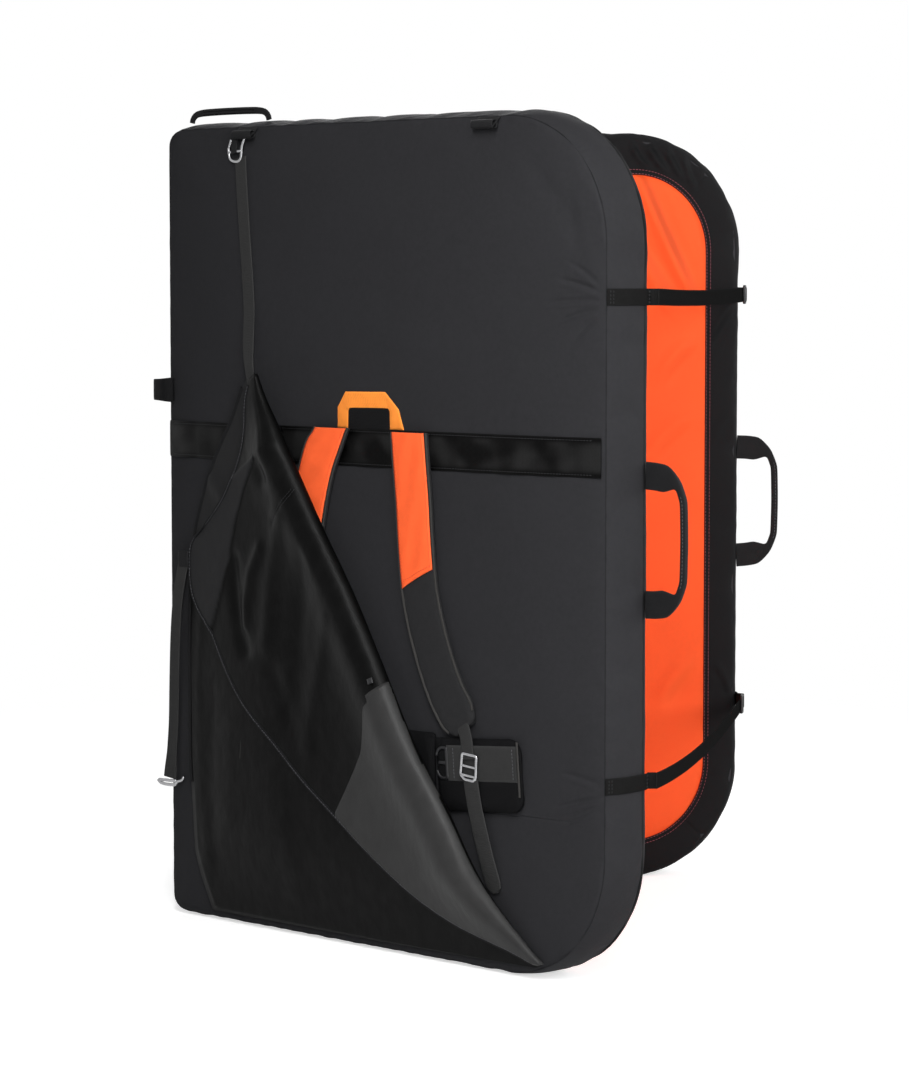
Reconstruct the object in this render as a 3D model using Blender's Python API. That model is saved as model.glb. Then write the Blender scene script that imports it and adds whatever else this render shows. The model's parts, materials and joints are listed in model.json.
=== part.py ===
"""A folding bouldering mat, standing half open on its edge like a book. Blender 4.5, metres, +Z up.

The front half stands in the XZ plane. Its harness face looks along -Y and its landing face along +Y. The
rear half is the same body mirrored in the fold and turned about the fold's vertical axis on the left. The
origin is on the floor, under the middle of the front half. Places on a half are shares of its width, counted
from the spine, and of its height, counted from the lower seam.
"""

import math

import bmesh
import bpy
from mathutils import Matrix, Vector

# Size of one half, from seam to seam
PAD_WIDTH = 0.800
PAD_HEIGHT = 1.094
SEAM_DEPTH = 0.080
CORNER_RADIUS = 0.165
SPINE_RADIUS = 0.030
CORNER_STEPS = 9
SPINE_STEPS = 3
EDGE_STEPS = 3
LEAST_RADIUS = 0.004
SMOOTH_STEPS = 8
SHARP_ANGLE = math.radians(40)

# How far faces and walls swell past the seams
HARNESS_CROWN = 0.012
LANDING_CROWN = 0.005
CROWN_LENGTH = 0.160
SIDE_BULGE = 0.009
BASE_BULGE = 0.005
BASE_CUT = 0.0005
FACE_SHARES = (1.0, 0.75, 0.5, 0.3, 0.14)
INNER_FACE_SHARES = (0.3, 1.0)
WALL_SHARES = (-1.0, -0.65, -0.3, 0.3, 0.65, 1.0)
INNER_WALL_SHARES = (1.0, 0.3, -0.3)
PANEL_SHARES = (0.6, 1.0)
FLAT_WALL_SHARE = 0.3

# Cloth, foam and fit
GAP = 0.0003
CLOTH = 0.002
FOAM_FIT = 0.001
BASE_FOAM = 0.010
TOP_FOAM = 0.015
BORDER = 0.052
BORDER_MID_SHARE = 0.4

# Fold
OPEN_ANGLE = math.radians(61.0)
FOLD_CLEARANCE = 0.001
SPINE_GAP = 0.005
LEAF_CLOTH = 0.001
LEAF_REACH = 0.020
LEAF_BEND = 0.005
LEAF_END_GAP = 0.002
LEAF_HEIGHT_SHARE = 0.93

# Webbing
WEB = 0.0016
LOAD_BAND = 0.050
LOAD_BAND_SHARE = 0.609
BAND_END = 0.003
CLOSURE_WEB = 0.025
CLOSURE_SHARES = (0.791, 0.234)
CLOSURE_LEAD = 0.110
CLOSURE_STAND = 0.012
CLOSURE_START_GAP = 0.0032
CLOSURE_END_GAP = 0.0048
SLIDER_BACK = 0.037
SLIDER_LENGTH = 0.016

# Handles
HANDLE_REACH = 0.064
HANDLE_LOW_SHARE = 0.410
HANDLE_HIGH_SHARE = 0.608
HANDLE_WEB = 0.036
HANDLE_GRIP = 0.010
HANDLE_THICKNESS = 0.003
HANDLE_FROM_SEAM = 0.007
HANDLE_STAND = 0.0045
# Edges of one leg: along the handle's reach, and down from its top by the webbing's width
HANDLE_OUTER_SHARES = ((0.0, 0.0), (0.35, 0.06), (0.7, 0.4), (0.92, 1.0), (1.0, 1.6))
HANDLE_INNER_SHARES = ((0.0, 1.0), (0.35, 1.0), (0.71, 1.0), (0.945, 1.06), (1.0, 1.6))
TOP_HANDLE_SHARES = (0.048, 0.235)
TOP_HANDLE_RISE = 0.027
TOP_HANDLE_LEG = 0.017
TOP_HANDLE_GRIP = 0.012
TOP_HANDLE_THICKNESS = 0.0036
TOP_HANDLE_Y = -0.012
TOP_HANDLE_STAND = 0.0012
# Edges of one leg: along the handle by the leg's width, and up by the edge's own rise
TOP_OUTER_SHARES = ((0.0, 0.0), (0.35, 0.5), (1.0, 0.9), (2.0, 1.0))
TOP_INNER_SHARES = ((1.0, 0.0), (1.15, 0.6), (1.7, 0.93), (2.4, 1.0))
SPINE_LOOP_SHARE = 0.671
SPINE_LOOP_WEB = 0.036
SPINE_LOOP_REACH = 0.026
SPINE_LOOP_ROOT = 0.012
SPINE_LOOP_DEPTH = 0.011
SPINE_LOOP_STAND = 0.0050
SPINE_LOOP_TIP_SHARES = (0.3, 0.7)

# Haul loop: outer and inner edge, as shares of the loop's width and rise
HAUL_LEFT_SHARE = 0.431
HAUL_WIDTH = 0.122
HAUL_RISE = 0.049
HAUL_OUTER_SHARES = ((0.0, 0.0), (0.0, 0.55), (0.12, 0.98), (0.72, 1.0), (0.92, 0.55), (1.0, 0.0))
HAUL_INNER_SHARES = ((0.17, 0.0), (0.18, 0.46), (0.19, 0.5), (0.77, 0.52), (0.78, 0.48), (0.79, 0.0))

# Shoulder straps, down their middle lines
RIGHT_STRAP_SHARES = ((0.599, 0.624), (0.605, 0.585), (0.610, 0.545), (0.615, 0.49), (0.626, 0.435),
                      (0.655, 0.37), (0.691, 0.322), (0.721, 0.292))
LEFT_STRAP_SHARES = ((0.423, 0.624), (0.395, 0.59), (0.370, 0.548), (0.345, 0.49), (0.330, 0.435),
                     (0.322, 0.37), (0.319, 0.322), (0.317, 0.292))
STRAP_PAD = 0.063
STRAP_THICKNESS = 0.011
STRAP_LIFT = 0.0022
STRAP_ROWS = 17
WEB_ROWS = 4
TAIL_ROWS = 9
STRAP_END_SHARES = (0.93, 0.72)
SLEEVE_SHARE = 0.52
SLEEVE_WIDTH_SHARE = 0.86
SLEEVE_CLOTH = 0.0012
STRAP_WEB = 0.020
RIGHT_WEB_SHARES = ((0.7235, 0.289), (0.7305, 0.277))
LEFT_WEB_SHARES = ((0.317, 0.289), (0.317, 0.277))
RIGHT_BUCKLE_SHARES = (0.7345, 0.740)
LEFT_BUCKLE_SHARES = (0.317, 0.317)
RIGHT_TAIL_SHARES = ((0.749, 0.19), (0.772, 0.147), (0.800, 0.106))
LEFT_TAIL_SHARES = ((0.315, 0.19), (0.309, 0.147), (0.302, 0.106))
TAIL_END_SHARE = 0.6
BUCKLE_WIDTH = 0.030
BUCKLE_HEIGHT = 0.040
BUCKLE_BAR = 0.0045
BUCKLE_THICKNESS = 0.0028
BUCKLE_Z_SHARE = 0.2405
BUCKLE_LIFT = 0.0152
BUCKLE_GAP = 0.0035

# Hip belt
BELT_STRAP_GAP = 0.0185
BELT_HEIGHT = 0.104
BELT_PAD = 0.010
BELT_LIFT = 0.0006
BELT_LEFT_SHARE = 0.397
BELT_RIGHT_SHARE = 0.659
WING_LENGTH = 0.148
WING_GAP = 0.004
WING_RADIUS = 0.022
WING_STEPS = 4
BELT_WEB = 0.046
BELT_WEB_RISE_SHARE = 0.69
BELT_WEB_INSET = 0.024
BELT_WEB_END = 0.0073
BELT_BUCKLE_LENGTH = 0.018

# Flap: outlines from its hooked corner to its lower right tip
FLAP_CREASE_SHARES = ((0.249, 0.695), (0.306, 0.627), (0.345, 0.582), (0.408, 0.509), (0.479, 0.433),
                      (0.540, 0.357), (0.619, 0.257), (0.705, 0.172), (0.777, 0.092), (0.856, 0.032),
                      (0.883, 0.015))
FLAP_HEM_SHARES = ((0.235, 0.682), (0.215, 0.625), (0.155, 0.556), (0.095, 0.494), (0.075, 0.462),
                   (0.075, 0.425), (0.095, 0.385), (0.115, 0.366), (0.177, 0.312), (0.225, 0.274),
                   (0.295, 0.236), (0.369, 0.192), (0.437, 0.159), (0.519, 0.119), (0.612, 0.076),
                   (0.713, 0.047), (0.821, 0.027), (0.869, 0.018))
FLAP_UNDER_SHARES = ((0.229, 0.684), (0.155, 0.585), (0.091, 0.495), (0.067, 0.455), (0.065, 0.300),
                     (0.066, 0.142), (0.080, 0.081), (0.115, 0.032), (0.143, 0.009), (0.527, 0.009),
                     (0.865, 0.010))
FLAP_FOLD_SHARES = (((0.212, 0.600), (0.137, 0.420), 0.0050, 0.022),
                    ((0.357, 0.545), (0.257, 0.330), 0.0045, 0.024),
                    ((0.427, 0.450), (0.357, 0.260), 0.0030, 0.026),
                    ((0.647, 0.200), (0.507, 0.140), 0.0025, 0.024))
FLAP_CLOTH = 0.0014
FLAP_ROWS = 26
FLAP_UNDER_COLUMNS = 6
FLAP_CREASE_STEPS = 3
FLAP_OVER_COLUMNS = 9
FLAP_EDGE_LIFT = 0.0035
FLAP_STACK_LIFT = 0.0240
FLAP_SIDE_LENGTH = 0.080
FLAP_BASE_LENGTH = 0.150
FLAP_HEM_GAP = 0.0035
FLAP_CREASE_GAP = 0.0130
FLAP_CREASE_LENGTH = 0.055
FLAP_HINGE_SHARE = 0.007
FLAP_PANEL_ROW_SHARE = 0.58
FLAP_PANEL_LIFT = 0.0032
FLAP_PANEL_CLOTH = 0.0010
TOP_STRAP_SHARES = ((0.2405, 0.706), (0.230, 0.76), (0.220, 0.815), (0.207, 0.885))
TOP_HOOK_SHARE = 0.192
TOP_STRAP_LIFT = 0.0045
TOP_STRAP_ROWS = 7
CORNER_TAB = 0.022
CORNER_STRAP_SHARES = ((0.061, 0.446), (0.052, 0.39), (0.037, 0.30), (0.026, 0.23), (0.012, 0.183))
CORNER_STRAP_LIFT = 0.0150
CORNER_STRAP_ROWS = 9
HOOK_WIDTH = 0.027
HOOK_HEIGHT = 0.036
HOOK_BAR = 0.004
HOOK_GAP = 0.0025
HOOK_LOOP_GAP = 0.0034

# Small loops in the top seam, and the zips on the spine walls
LOOP_WIDTH = 0.038
LOOP_RADIUS = 0.0065
LOOP_STEPS = 10
LOOP_SHARES = (0.205, 0.758)
LOOP_DROP = 0.011
LOOP_STAND = 0.0125
ZIP_WIDTH = 0.026
ZIP_TAPE = 0.001
ZIP_HEIGHT_SHARE = 0.88
ZIP_SLIDER_WIDTH = 0.011
ZIP_SLIDER_HEIGHT = 0.024
ZIP_SLIDER_DEPTH = 0.0022
ZIP_SLIDER_SHARE = 0.90
ZIP_SLIDER_RISE_SHARES = (-0.5, -0.1, 0.5)
ZIP_SLIDER_TIP_SHARE = 0.5

# The sRGB curve
SRGB_SLOPE = 12.92
SRGB_KNEE = 0.04045
SRGB_LIFT = 0.055
SRGB_POWER = 2.4

# Finishes: sRGB colour, roughness, metallic
FINISHES = {
    "cover_black": ((52, 52, 54), 0.75, 0.0),
    "border_black": ((38, 38, 40), 0.75, 0.0),
    "panel_orange": ((250, 92, 50), 0.65, 0.0),
    "strap_orange": ((250, 100, 55), 0.65, 0.0),
    "loop_orange": ((241, 135, 63), 0.60, 0.0),
    "web_black": ((38, 38, 38), 0.70, 0.0),
    "pad_grey": ((46, 46, 47), 0.80, 0.0),
    "flap_coated": ((40, 40, 41), 0.35, 0.0),
    "flap_matte": ((57, 57, 58), 0.60, 0.0),
    "metal": ((185, 185, 185), 0.30, 1.0),
    "plastic_black": ((24, 24, 25), 0.45, 0.0),
    "foam_soft": ((120, 122, 126), 0.95, 0.0),
    "foam_firm": ((40, 41, 44), 0.90, 0.0),
}

# Places worked out from the sizes
HALF_DEPTH = SEAM_DEPTH / 2
LOW_SEAM = BASE_BULGE * (1 - FLAT_WALL_SHARE ** 2) - BASE_CUT
HIGH_SEAM = LOW_SEAM + PAD_HEIGHT
SPINE_X = -PAD_WIDTH / 2
EDGE_X = PAD_WIDTH / 2
LANDING_Y = HALF_DEPTH + GAP
FOLD_X = SPINE_X - SPINE_GAP
FOLD_Y = LANDING_Y + CLOTH + LANDING_CROWN + FOLD_CLEARANCE
OUTWARD = Vector((0, -1, 0))
UP = Vector((0, 0, 1))
RECTANGLE_SHARES = ((-0.5, -0.5), (0.5, -0.5), (0.5, 0.5), (-0.5, 0.5))
PILLOW_SHARES = ((-0.5, 0.0), (-0.46, -0.34), (-0.34, -0.5), (0.34, -0.5), (0.46, -0.34),
                 (0.5, 0.0), (0.46, 0.34), (0.34, 0.5), (-0.34, 0.5), (-0.46, 0.34))


def linear(channel):
    """One 8-bit sRGB channel as a linear value."""
    c = channel / 255
    return c / SRGB_SLOPE if c <= SRGB_KNEE else ((c + SRGB_LIFT) / (1 + SRGB_LIFT)) ** SRGB_POWER


def make_finish(name):
    colour, roughness, metallic = FINISHES[name]
    finish = bpy.data.materials.new(name)
    finish.use_nodes = True
    shader = finish.node_tree.nodes["Principled BSDF"]
    shader.inputs["Base Color"].default_value = (*(linear(c) for c in colour), 1.0)
    shader.inputs["Roughness"].default_value = roughness
    shader.inputs["Metallic"].default_value = metallic
    return finish


def clear_scene():
    for thing in list(bpy.data.objects):
        bpy.data.objects.remove(thing)


def add_axis(name, place, parent=None, mirrored=False):
    """An empty on a joint's axis, which its moving pieces hang from. Places are as on the front half."""
    axis = bpy.data.objects.new(name, None)
    bpy.context.collection.objects.link(axis)
    offset = Vector(place)
    if parent:
        offset -= Vector(parent["place"])
        mirrored = parent["mirrored"]
        if mirrored:
            offset.y = -offset.y
    axis.parent = parent
    axis.location = offset
    axis["place"] = tuple(place)
    axis["mirrored"] = mirrored
    return axis


def add_body(name, bm, finish, parent=None):
    """Names a finished mesh, faces it outward and hangs it from its axis."""
    if parent:
        bmesh.ops.translate(bm, verts=bm.verts, vec=-Vector(parent["place"]))
        if parent["mirrored"]:
            bmesh.ops.transform(bm, verts=bm.verts, matrix=Matrix.Diagonal((1, -1, 1, 1)))
    bmesh.ops.recalc_face_normals(bm, faces=bm.faces)
    mesh = bpy.data.meshes.new(name)
    bm.to_mesh(mesh)
    bm.free()
    mesh.shade_smooth()
    mesh.set_sharp_from_angle(angle=SHARP_ANGLE)
    body = bpy.data.objects.new(name, mesh)
    bpy.context.collection.objects.link(body)
    body.parent = parent
    mesh.materials.append(bpy.data.materials.get(finish) or make_finish(finish))
    return body


def loft(rings, capped=True):
    """Joins closed rings of points. Capped ends close it, and otherwise the last ring meets the first."""
    bm = bmesh.new()
    rows = [[bm.verts.new(point) for point in ring] for ring in rings]
    count = len(rows[0])
    pairs = list(zip(rows, rows[1:])) + ([] if capped else [(rows[-1], rows[0])])
    for low, high in pairs:
        for i in range(count):
            j = (i + 1) % count
            bm.faces.new((low[i], low[j], high[j], high[i]))
    if capped:
        bm.faces.new(rows[0])
        bm.faces.new(rows[-1])
    return bm


def smooth_line(points, count):
    """Points spread evenly along a smooth curve through the given ones."""
    points = [Vector(p) for p in points]
    ends = [2 * points[0] - points[1], *points, 2 * points[-1] - points[-2]]
    fine = []
    for a, b, c, d in zip(ends, ends[1:], ends[2:], ends[3:]):
        for k in range(SMOOTH_STEPS):
            t = k / SMOOTH_STEPS
            fine.append((2 * b + (c - a) * t + (2 * a - 5 * b + 4 * c - d) * t * t
                         + (3 * b - a - 3 * c + d) * t ** 3) / 2)
    return spread(fine + [points[-1]], count)


def spread(points, count):
    """Points at equal steps along a polyline."""
    points = [Vector(p) for p in points]
    runs = [(b - a).length for a, b in zip(points, points[1:])]
    total = sum(runs)
    out = []
    for k in range(count):
        left = total * k / (count - 1)
        i = 0
        while i < len(runs) - 1 and left > runs[i]:
            left -= runs[i]
            i += 1
        out.append(points[i].lerp(points[i + 1], min(left / runs[i], 1)))
    return out


def sweep(path, across, widths, thicknesses, section=RECTANGLE_SHARES):
    """Carries a section along a path. Across is the direction of its width at each point, or one for all."""
    count = len(path)
    across = across if isinstance(across, list) else [across] * count
    widths = widths if isinstance(widths, list) else [widths] * count
    thicknesses = thicknesses if isinstance(thicknesses, list) else [thicknesses] * count
    rings = []
    for i, point in enumerate(path):
        along = (path[min(i + 1, count - 1)] - path[max(i - 1, 0)]).normalized()
        side = (across[i] - along * across[i].dot(along)).normalized()
        normal = along.cross(side)
        rings.append([point + side * a * widths[i] + normal * b * thicknesses[i] for a, b in section])
    return loft(rings)


def side_bulge(normal_x, normal_z):
    """How far a wall may swell, from the way it faces: most on free sides, less below, none at the spine."""
    side = SIDE_BULGE if normal_x >= 0 else 0
    level = BASE_BULGE if normal_z < 0 else SIDE_BULGE
    return side + (level - side) * normal_z ** 2


def outline(inset):
    """Points and outward normals of the seam line moved in by a distance, in (x, z)."""
    corners = ((EDGE_X, LOW_SEAM, CORNER_RADIUS, CORNER_STEPS, 270),
               (EDGE_X, HIGH_SEAM, CORNER_RADIUS, CORNER_STEPS, 0),
               (SPINE_X, HIGH_SEAM, SPINE_RADIUS, SPINE_STEPS, 90),
               (SPINE_X, LOW_SEAM, SPINE_RADIUS, SPINE_STEPS, 180))
    arcs = []
    for x, z, full, steps, start in corners:
        radius = max(full - inset, LEAST_RADIUS)
        centre_x = x - math.copysign(inset + radius, x)
        centre_z = z + (inset + radius if z == LOW_SEAM else -inset - radius)
        turns = [math.radians(start + 90 * k / steps) for k in range(steps + 1)]
        normals = [(math.cos(a), math.sin(a)) for a in turns]
        arcs.append([(centre_x + radius * nx, centre_z + radius * nz, nx, nz) for nx, nz in normals])
    points = []
    for arc, following in zip(arcs, arcs[1:] + arcs[:1]):
        points += arc
        start, end = arc[-1], following[0]
        for k in range(1, EDGE_STEPS):
            t = k / EDGE_STEPS
            x, z = (a + (b - a) * t for a, b in zip(start[:2], end[:2]))
            points.append((x, z, *start[2:]))
    return points


def ring(inset, y, swell=0.0):
    """The outline at one depth, swollen outward by a share of each wall's bulge and cut flat at the floor."""
    return [Vector((x + nx * side_bulge(nx, nz) * swell, y, max(z + nz * side_bulge(nx, nz) * swell, 0)))
            for x, z, nx, nz in outline(inset)]


def crown(inset, height):
    """A face's rise at a distance in from its seam: quick at the edge, level in the middle."""
    return height * (1 - (1 - min(inset / CROWN_LENGTH, 1)) ** 2)


def wall_swell(share):
    return 1 - share ** 2


def at(width_share, height_share):
    """A place on a half as x and z."""
    return SPINE_X + PAD_WIDTH * width_share, LOW_SEAM + PAD_HEIGHT * height_share


def face_y(x, z):
    """The depth of the harness face at a place."""
    inset = min(x - SPINE_X, EDGE_X - x, z - LOW_SEAM, HIGH_SEAM - z)
    corner_x = x - (EDGE_X - CORNER_RADIUS)
    corner_z = abs(z - (LOW_SEAM + HIGH_SEAM) / 2) - (PAD_HEIGHT / 2 - CORNER_RADIUS)
    if corner_x > 0 and corner_z > 0:
        inset = CORNER_RADIUS - math.hypot(corner_x, corner_z)
    return -HALF_DEPTH - crown(max(inset, 0), HARNESS_CROWN)


def on_face(width_share, height_share, lift):
    x, z = at(width_share, height_share)
    return Vector((x, face_y(x, z) - lift, z))


def cover(name, parent):
    """The tray-shaped outer cover: harness face and all four walls, open towards the landing face."""
    insets = [CROWN_LENGTH * s for s in FACE_SHARES]
    rings = [ring(inset, -HALF_DEPTH - crown(inset, HARNESS_CROWN)) for inset in insets]
    rings += [ring(0, HALF_DEPTH * s, wall_swell(s)) for s in WALL_SHARES]
    rings += [ring(CLOTH, HALF_DEPTH * s, wall_swell(s)) for s in INNER_WALL_SHARES]
    rings.append(ring(CLOTH, CLOTH - HALF_DEPTH))
    rings += [ring(CROWN_LENGTH * s, CLOTH - HALF_DEPTH - crown(CROWN_LENGTH * s, HARNESS_CROWN))
              for s in INNER_FACE_SHARES]
    add_body(name, loft(rings), "cover_black", parent)


def slab(name, inset, low, high, finish, parent, shares=INNER_FACE_SHARES):
    """A filled layer inside the outline. Low and high give each face's depth at an inset."""
    steps = [inset] + [CROWN_LENGTH * s for s in shares]
    rings = [ring(step, low(step)) for step in reversed(steps)] + [ring(step, high(step)) for step in steps]
    add_body(name, loft(rings), finish, parent)


def foams(side, parent):
    """Three foam layers: a crowned base, a soft core and a firm landing layer."""
    inset = CLOTH + FOAM_FIT
    base_low = CLOTH + FOAM_FIT - HALF_DEPTH
    base_high = base_low + BASE_FOAM
    top_high = LANDING_Y - FOAM_FIT
    top_low = top_high - TOP_FOAM
    slab(f"{side}_foam_base", inset, lambda d: base_low - crown(d, HARNESS_CROWN), lambda d: base_high,
         "foam_firm", parent)
    slab(f"{side}_foam_core", inset, lambda d: base_high + GAP, lambda d: top_low - GAP,
         "foam_soft", parent, ())
    slab(f"{side}_foam_landing", inset, lambda d: top_low, lambda d: top_high + crown(d, LANDING_CROWN),
         "foam_firm", parent)


def landing_face(side, parent):
    """The black border ring and the orange panel set into it."""
    def level(inset):
        return LANDING_Y + crown(inset, LANDING_CROWN)
    steps = (0, BORDER * BORDER_MID_SHARE, BORDER)
    rings = [ring(d, level(d)) for d in steps] + [ring(d, level(d) + CLOTH) for d in reversed(steps)]
    add_body(f"{side}_landing_border", loft(rings, capped=False), "border_black", parent)
    slab(f"{side}_landing_panel", BORDER + GAP, level, lambda d: level(d) + CLOTH, "panel_orange", parent,
         PANEL_SHARES)


def hinge_leaf(name, parent):
    """One half's leaf of the cloth hinge, from its landing border to the fold line."""
    y = LANDING_Y + CLOTH + GAP + LEAF_CLOTH / 2
    z = (LOW_SEAM + HIGH_SEAM) / 2
    path = [Vector((SPINE_X + LEAF_REACH, y + crown(LEAF_REACH, LANDING_CROWN), z)),
            Vector((SPINE_X + LEAF_BEND, y + crown(LEAF_BEND, LANDING_CROWN) + GAP, z)),
            Vector((SPINE_X, y, z)), Vector((FOLD_X + LEAF_END_GAP, FOLD_Y - LEAF_END_GAP, z))]
    add_body(name, sweep(path, UP, PAD_HEIGHT * LEAF_HEIGHT_SHARE, LEAF_CLOTH), "border_black", parent)


def zip_fastener(side, parent):
    """The cover's zip on the spine wall, and its slider."""
    z = (LOW_SEAM + HIGH_SEAM) / 2
    height = PAD_HEIGHT * ZIP_HEIGHT_SHARE
    x = SPINE_X - GAP - ZIP_TAPE / 2
    path = [Vector((x, 0, z - height / 2)), Vector((x, 0, z + height / 2))]
    add_body(f"{side}_zip_tape", sweep(path, OUTWARD, ZIP_WIDTH, ZIP_TAPE), "web_black", parent)
    low = LOW_SEAM + PAD_HEIGHT * ZIP_SLIDER_SHARE
    x -= ZIP_TAPE / 2 + GAP + ZIP_SLIDER_DEPTH / 2
    place = Vector((x, 0, low))
    axis = add_axis(f"{side}_zip_axis", place, parent)
    path = [place + UP * ZIP_SLIDER_HEIGHT * s for s in ZIP_SLIDER_RISE_SHARES]
    widths = [ZIP_SLIDER_WIDTH, ZIP_SLIDER_WIDTH, ZIP_SLIDER_WIDTH * ZIP_SLIDER_TIP_SHARE]
    add_body(f"{side}_zip_slider", sweep(path, OUTWARD, widths, ZIP_SLIDER_DEPTH), "metal", axis)


def half(side, parent):
    cover(f"{side}_cover", parent)
    foams(side, parent)
    landing_face(side, parent)
    hinge_leaf(f"{side}_hinge_leaf", parent)
    zip_fastener(side, parent)


def flat_loop(outer, inner, y, thickness):
    """A flat loop in the XZ plane, between its outer and inner edge, open where it is sewn down."""
    return loft([[Vector((x, y + side_y * thickness / 2, z))
                  for (x, z), side_y in ((out, -1), (into, -1), (into, 1), (out, 1))]
                 for out, into in zip(outer, inner)])


def side_handle(side, parent):
    """A webbing loop on the opening wall, its grip folded narrow."""
    y = HALF_DEPTH - HANDLE_FROM_SEAM
    x = EDGE_X + HANDLE_STAND
    place = Vector((x, y, (LOW_SEAM + HIGH_SEAM) / 2))
    axis = add_axis(f"{side}_handle_axis", place, parent)
    low = LOW_SEAM + PAD_HEIGHT * HANDLE_LOW_SHARE
    high = LOW_SEAM + PAD_HEIGHT * HANDLE_HIGH_SHARE
    edges = []
    inner_reach = HANDLE_REACH - HANDLE_GRIP
    for shares, reach in ((HANDLE_OUTER_SHARES, HANDLE_REACH), (HANDLE_INNER_SHARES, inner_reach)):
        leg = [(x + reach * along, high - HANDLE_WEB * down) for along, down in shares]
        edges.append(leg + [(u, low + high - v) for u, v in reversed(leg)])
    add_body(f"{side}_side_handle", flat_loop(*edges, y, HANDLE_THICKNESS), "web_black", axis)


def top_handle():
    """The carrying handle on the top wall by the spine."""
    z = HIGH_SEAM + SIDE_BULGE + TOP_HANDLE_STAND
    left, right = (SPINE_X + PAD_WIDTH * s for s in TOP_HANDLE_SHARES)
    axis = add_axis("top_handle_axis", ((left + right) / 2, TOP_HANDLE_Y, z))
    edges = []
    inner_rise = TOP_HANDLE_RISE - TOP_HANDLE_GRIP
    for shares, rise in ((TOP_OUTER_SHARES, TOP_HANDLE_RISE), (TOP_INNER_SHARES, inner_rise)):
        leg = [(left + TOP_HANDLE_LEG * along, z + rise * up) for along, up in shares]
        edges.append(leg + [(left + right - x, height) for x, height in reversed(leg)])
    add_body("top_handle", flat_loop(*edges, TOP_HANDLE_Y, TOP_HANDLE_THICKNESS), "web_black", axis)


def spine_loop():
    """The small webbing loop past the spine edge."""
    z = LOW_SEAM + PAD_HEIGHT * SPINE_LOOP_SHARE
    root, tip = SPINE_X + SPINE_LOOP_ROOT, SPINE_X - SPINE_LOOP_REACH
    inner_y = -HALF_DEPTH - SPINE_LOOP_STAND
    outer_y = inner_y - SPINE_LOOP_DEPTH
    bend = SPINE_LOOP_DEPTH / 2
    axis = add_axis("spine_loop_axis", (root + bend, inner_y, z))
    path = [(root, inner_y), (tip + bend, inner_y)]
    path += [(tip, inner_y - SPINE_LOOP_DEPTH * s) for s in SPINE_LOOP_TIP_SHARES]
    path += [(tip + bend, outer_y), (root - bend, outer_y), (root + bend, inner_y - 2 * WEB)]
    path = [Vector((x, y, z)) for x, y in path]
    add_body("spine_loop", sweep(path, UP, SPINE_LOOP_WEB, WEB), "web_black", axis)


def haul_loop():
    """The orange hauling loop that stands above the load band."""
    band_top = LOW_SEAM + PAD_HEIGHT * LOAD_BAND_SHARE + LOAD_BAND / 2
    left = SPINE_X + PAD_WIDTH * HAUL_LEFT_SHARE
    z = band_top + GAP
    y = -HALF_DEPTH - HARNESS_CROWN - GAP - WEB / 2
    axis = add_axis("haul_loop_axis", (left + HAUL_WIDTH / 2, y - WEB / 2, z))
    edges = [[(left + HAUL_WIDTH * across, z + HAUL_RISE * up) for across, up in shares]
             for shares in (HAUL_OUTER_SHARES, HAUL_INNER_SHARES)]
    add_body("haul_loop", flat_loop(*edges, y, WEB), "loop_orange", axis)


def load_band():
    """Wide webbing sewn across the harness face, which carries the shoulder straps."""
    z = LOW_SEAM + PAD_HEIGHT * LOAD_BAND_SHARE
    insets = [BAND_END] + [CROWN_LENGTH * s for s in reversed(FACE_SHARES)]
    xs = [SPINE_X + inset for inset in insets] + [EDGE_X - inset for inset in reversed(insets)]
    path = [Vector((x, face_y(x, z) - GAP - WEB / 2, z)) for x in xs]
    add_body("load_band", sweep(path, UP, LOAD_BAND, WEB), "web_black")


def face_sweep(shares, lift, width, thickness, count, section=RECTANGLE_SHARES):
    """A strap laid on the face along a line of shares. Lift is its middle's, at each end or all over."""
    line = smooth_line([Vector((*at(*s), 0)) for s in shares], count)
    lifts = lift if isinstance(lift, tuple) else (lift, lift)
    path = []
    for k, point in enumerate(line):
        here = lifts[0] + (lifts[1] - lifts[0]) * k / (count - 1)
        path.append(Vector((point.x, face_y(point.x, point.y) - here, point.y)))
    across = []
    for k in range(count):
        along = (path[min(k + 1, count - 1)] - path[max(k - 1, 0)]).normalized()
        across.append(along.cross(OUTWARD).normalized())
    return sweep(path, across, width, thickness, section)


def lattice(pattern, columns, rows, thickness, centre, lean=0.0):
    """A flat upright plate built from a drawing of cells, with the cells' widths and heights."""
    bm = bmesh.new()
    xs = [sum(columns[:k]) - sum(columns) / 2 for k in range(len(columns) + 1)]
    zs = [sum(rows) / 2 - sum(rows[:k]) for k in range(len(rows) + 1)]
    turn = Matrix.Translation(centre) @ Matrix.Rotation(lean, 4, "Y")
    corners = {}

    def corner(i, j, side_y):
        if (i, j, side_y) not in corners:
            corners[i, j, side_y] = bm.verts.new(turn @ Vector((xs[i], side_y * thickness / 2, zs[j])))
        return corners[i, j, side_y]

    def solid(i, j):
        return 0 <= j < len(rows) and 0 <= i < len(columns) and pattern[j][i] == "#"

    for j in range(len(rows)):
        for i in range(len(columns)):
            if not solid(i, j):
                continue
            cell = ((i, j), (i + 1, j), (i + 1, j + 1), (i, j + 1))
            for side_y in (-1, 1):
                bm.faces.new([corner(a, b, side_y) for a, b in cell])
            for (di, dj), ((a, b), (c, d)) in {(-1, 0): ((0, 0), (0, 1)), (1, 0): ((1, 0), (1, 1)),
                                               (0, -1): ((0, 0), (1, 0)), (0, 1): ((0, 1), (1, 1))}.items():
                if not solid(i + di, j + dj):
                    bm.faces.new((corner(i + a, j + b, -1), corner(i + c, j + d, -1),
                                  corner(i + c, j + d, 1), corner(i + a, j + b, 1)))
    return bm


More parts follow.
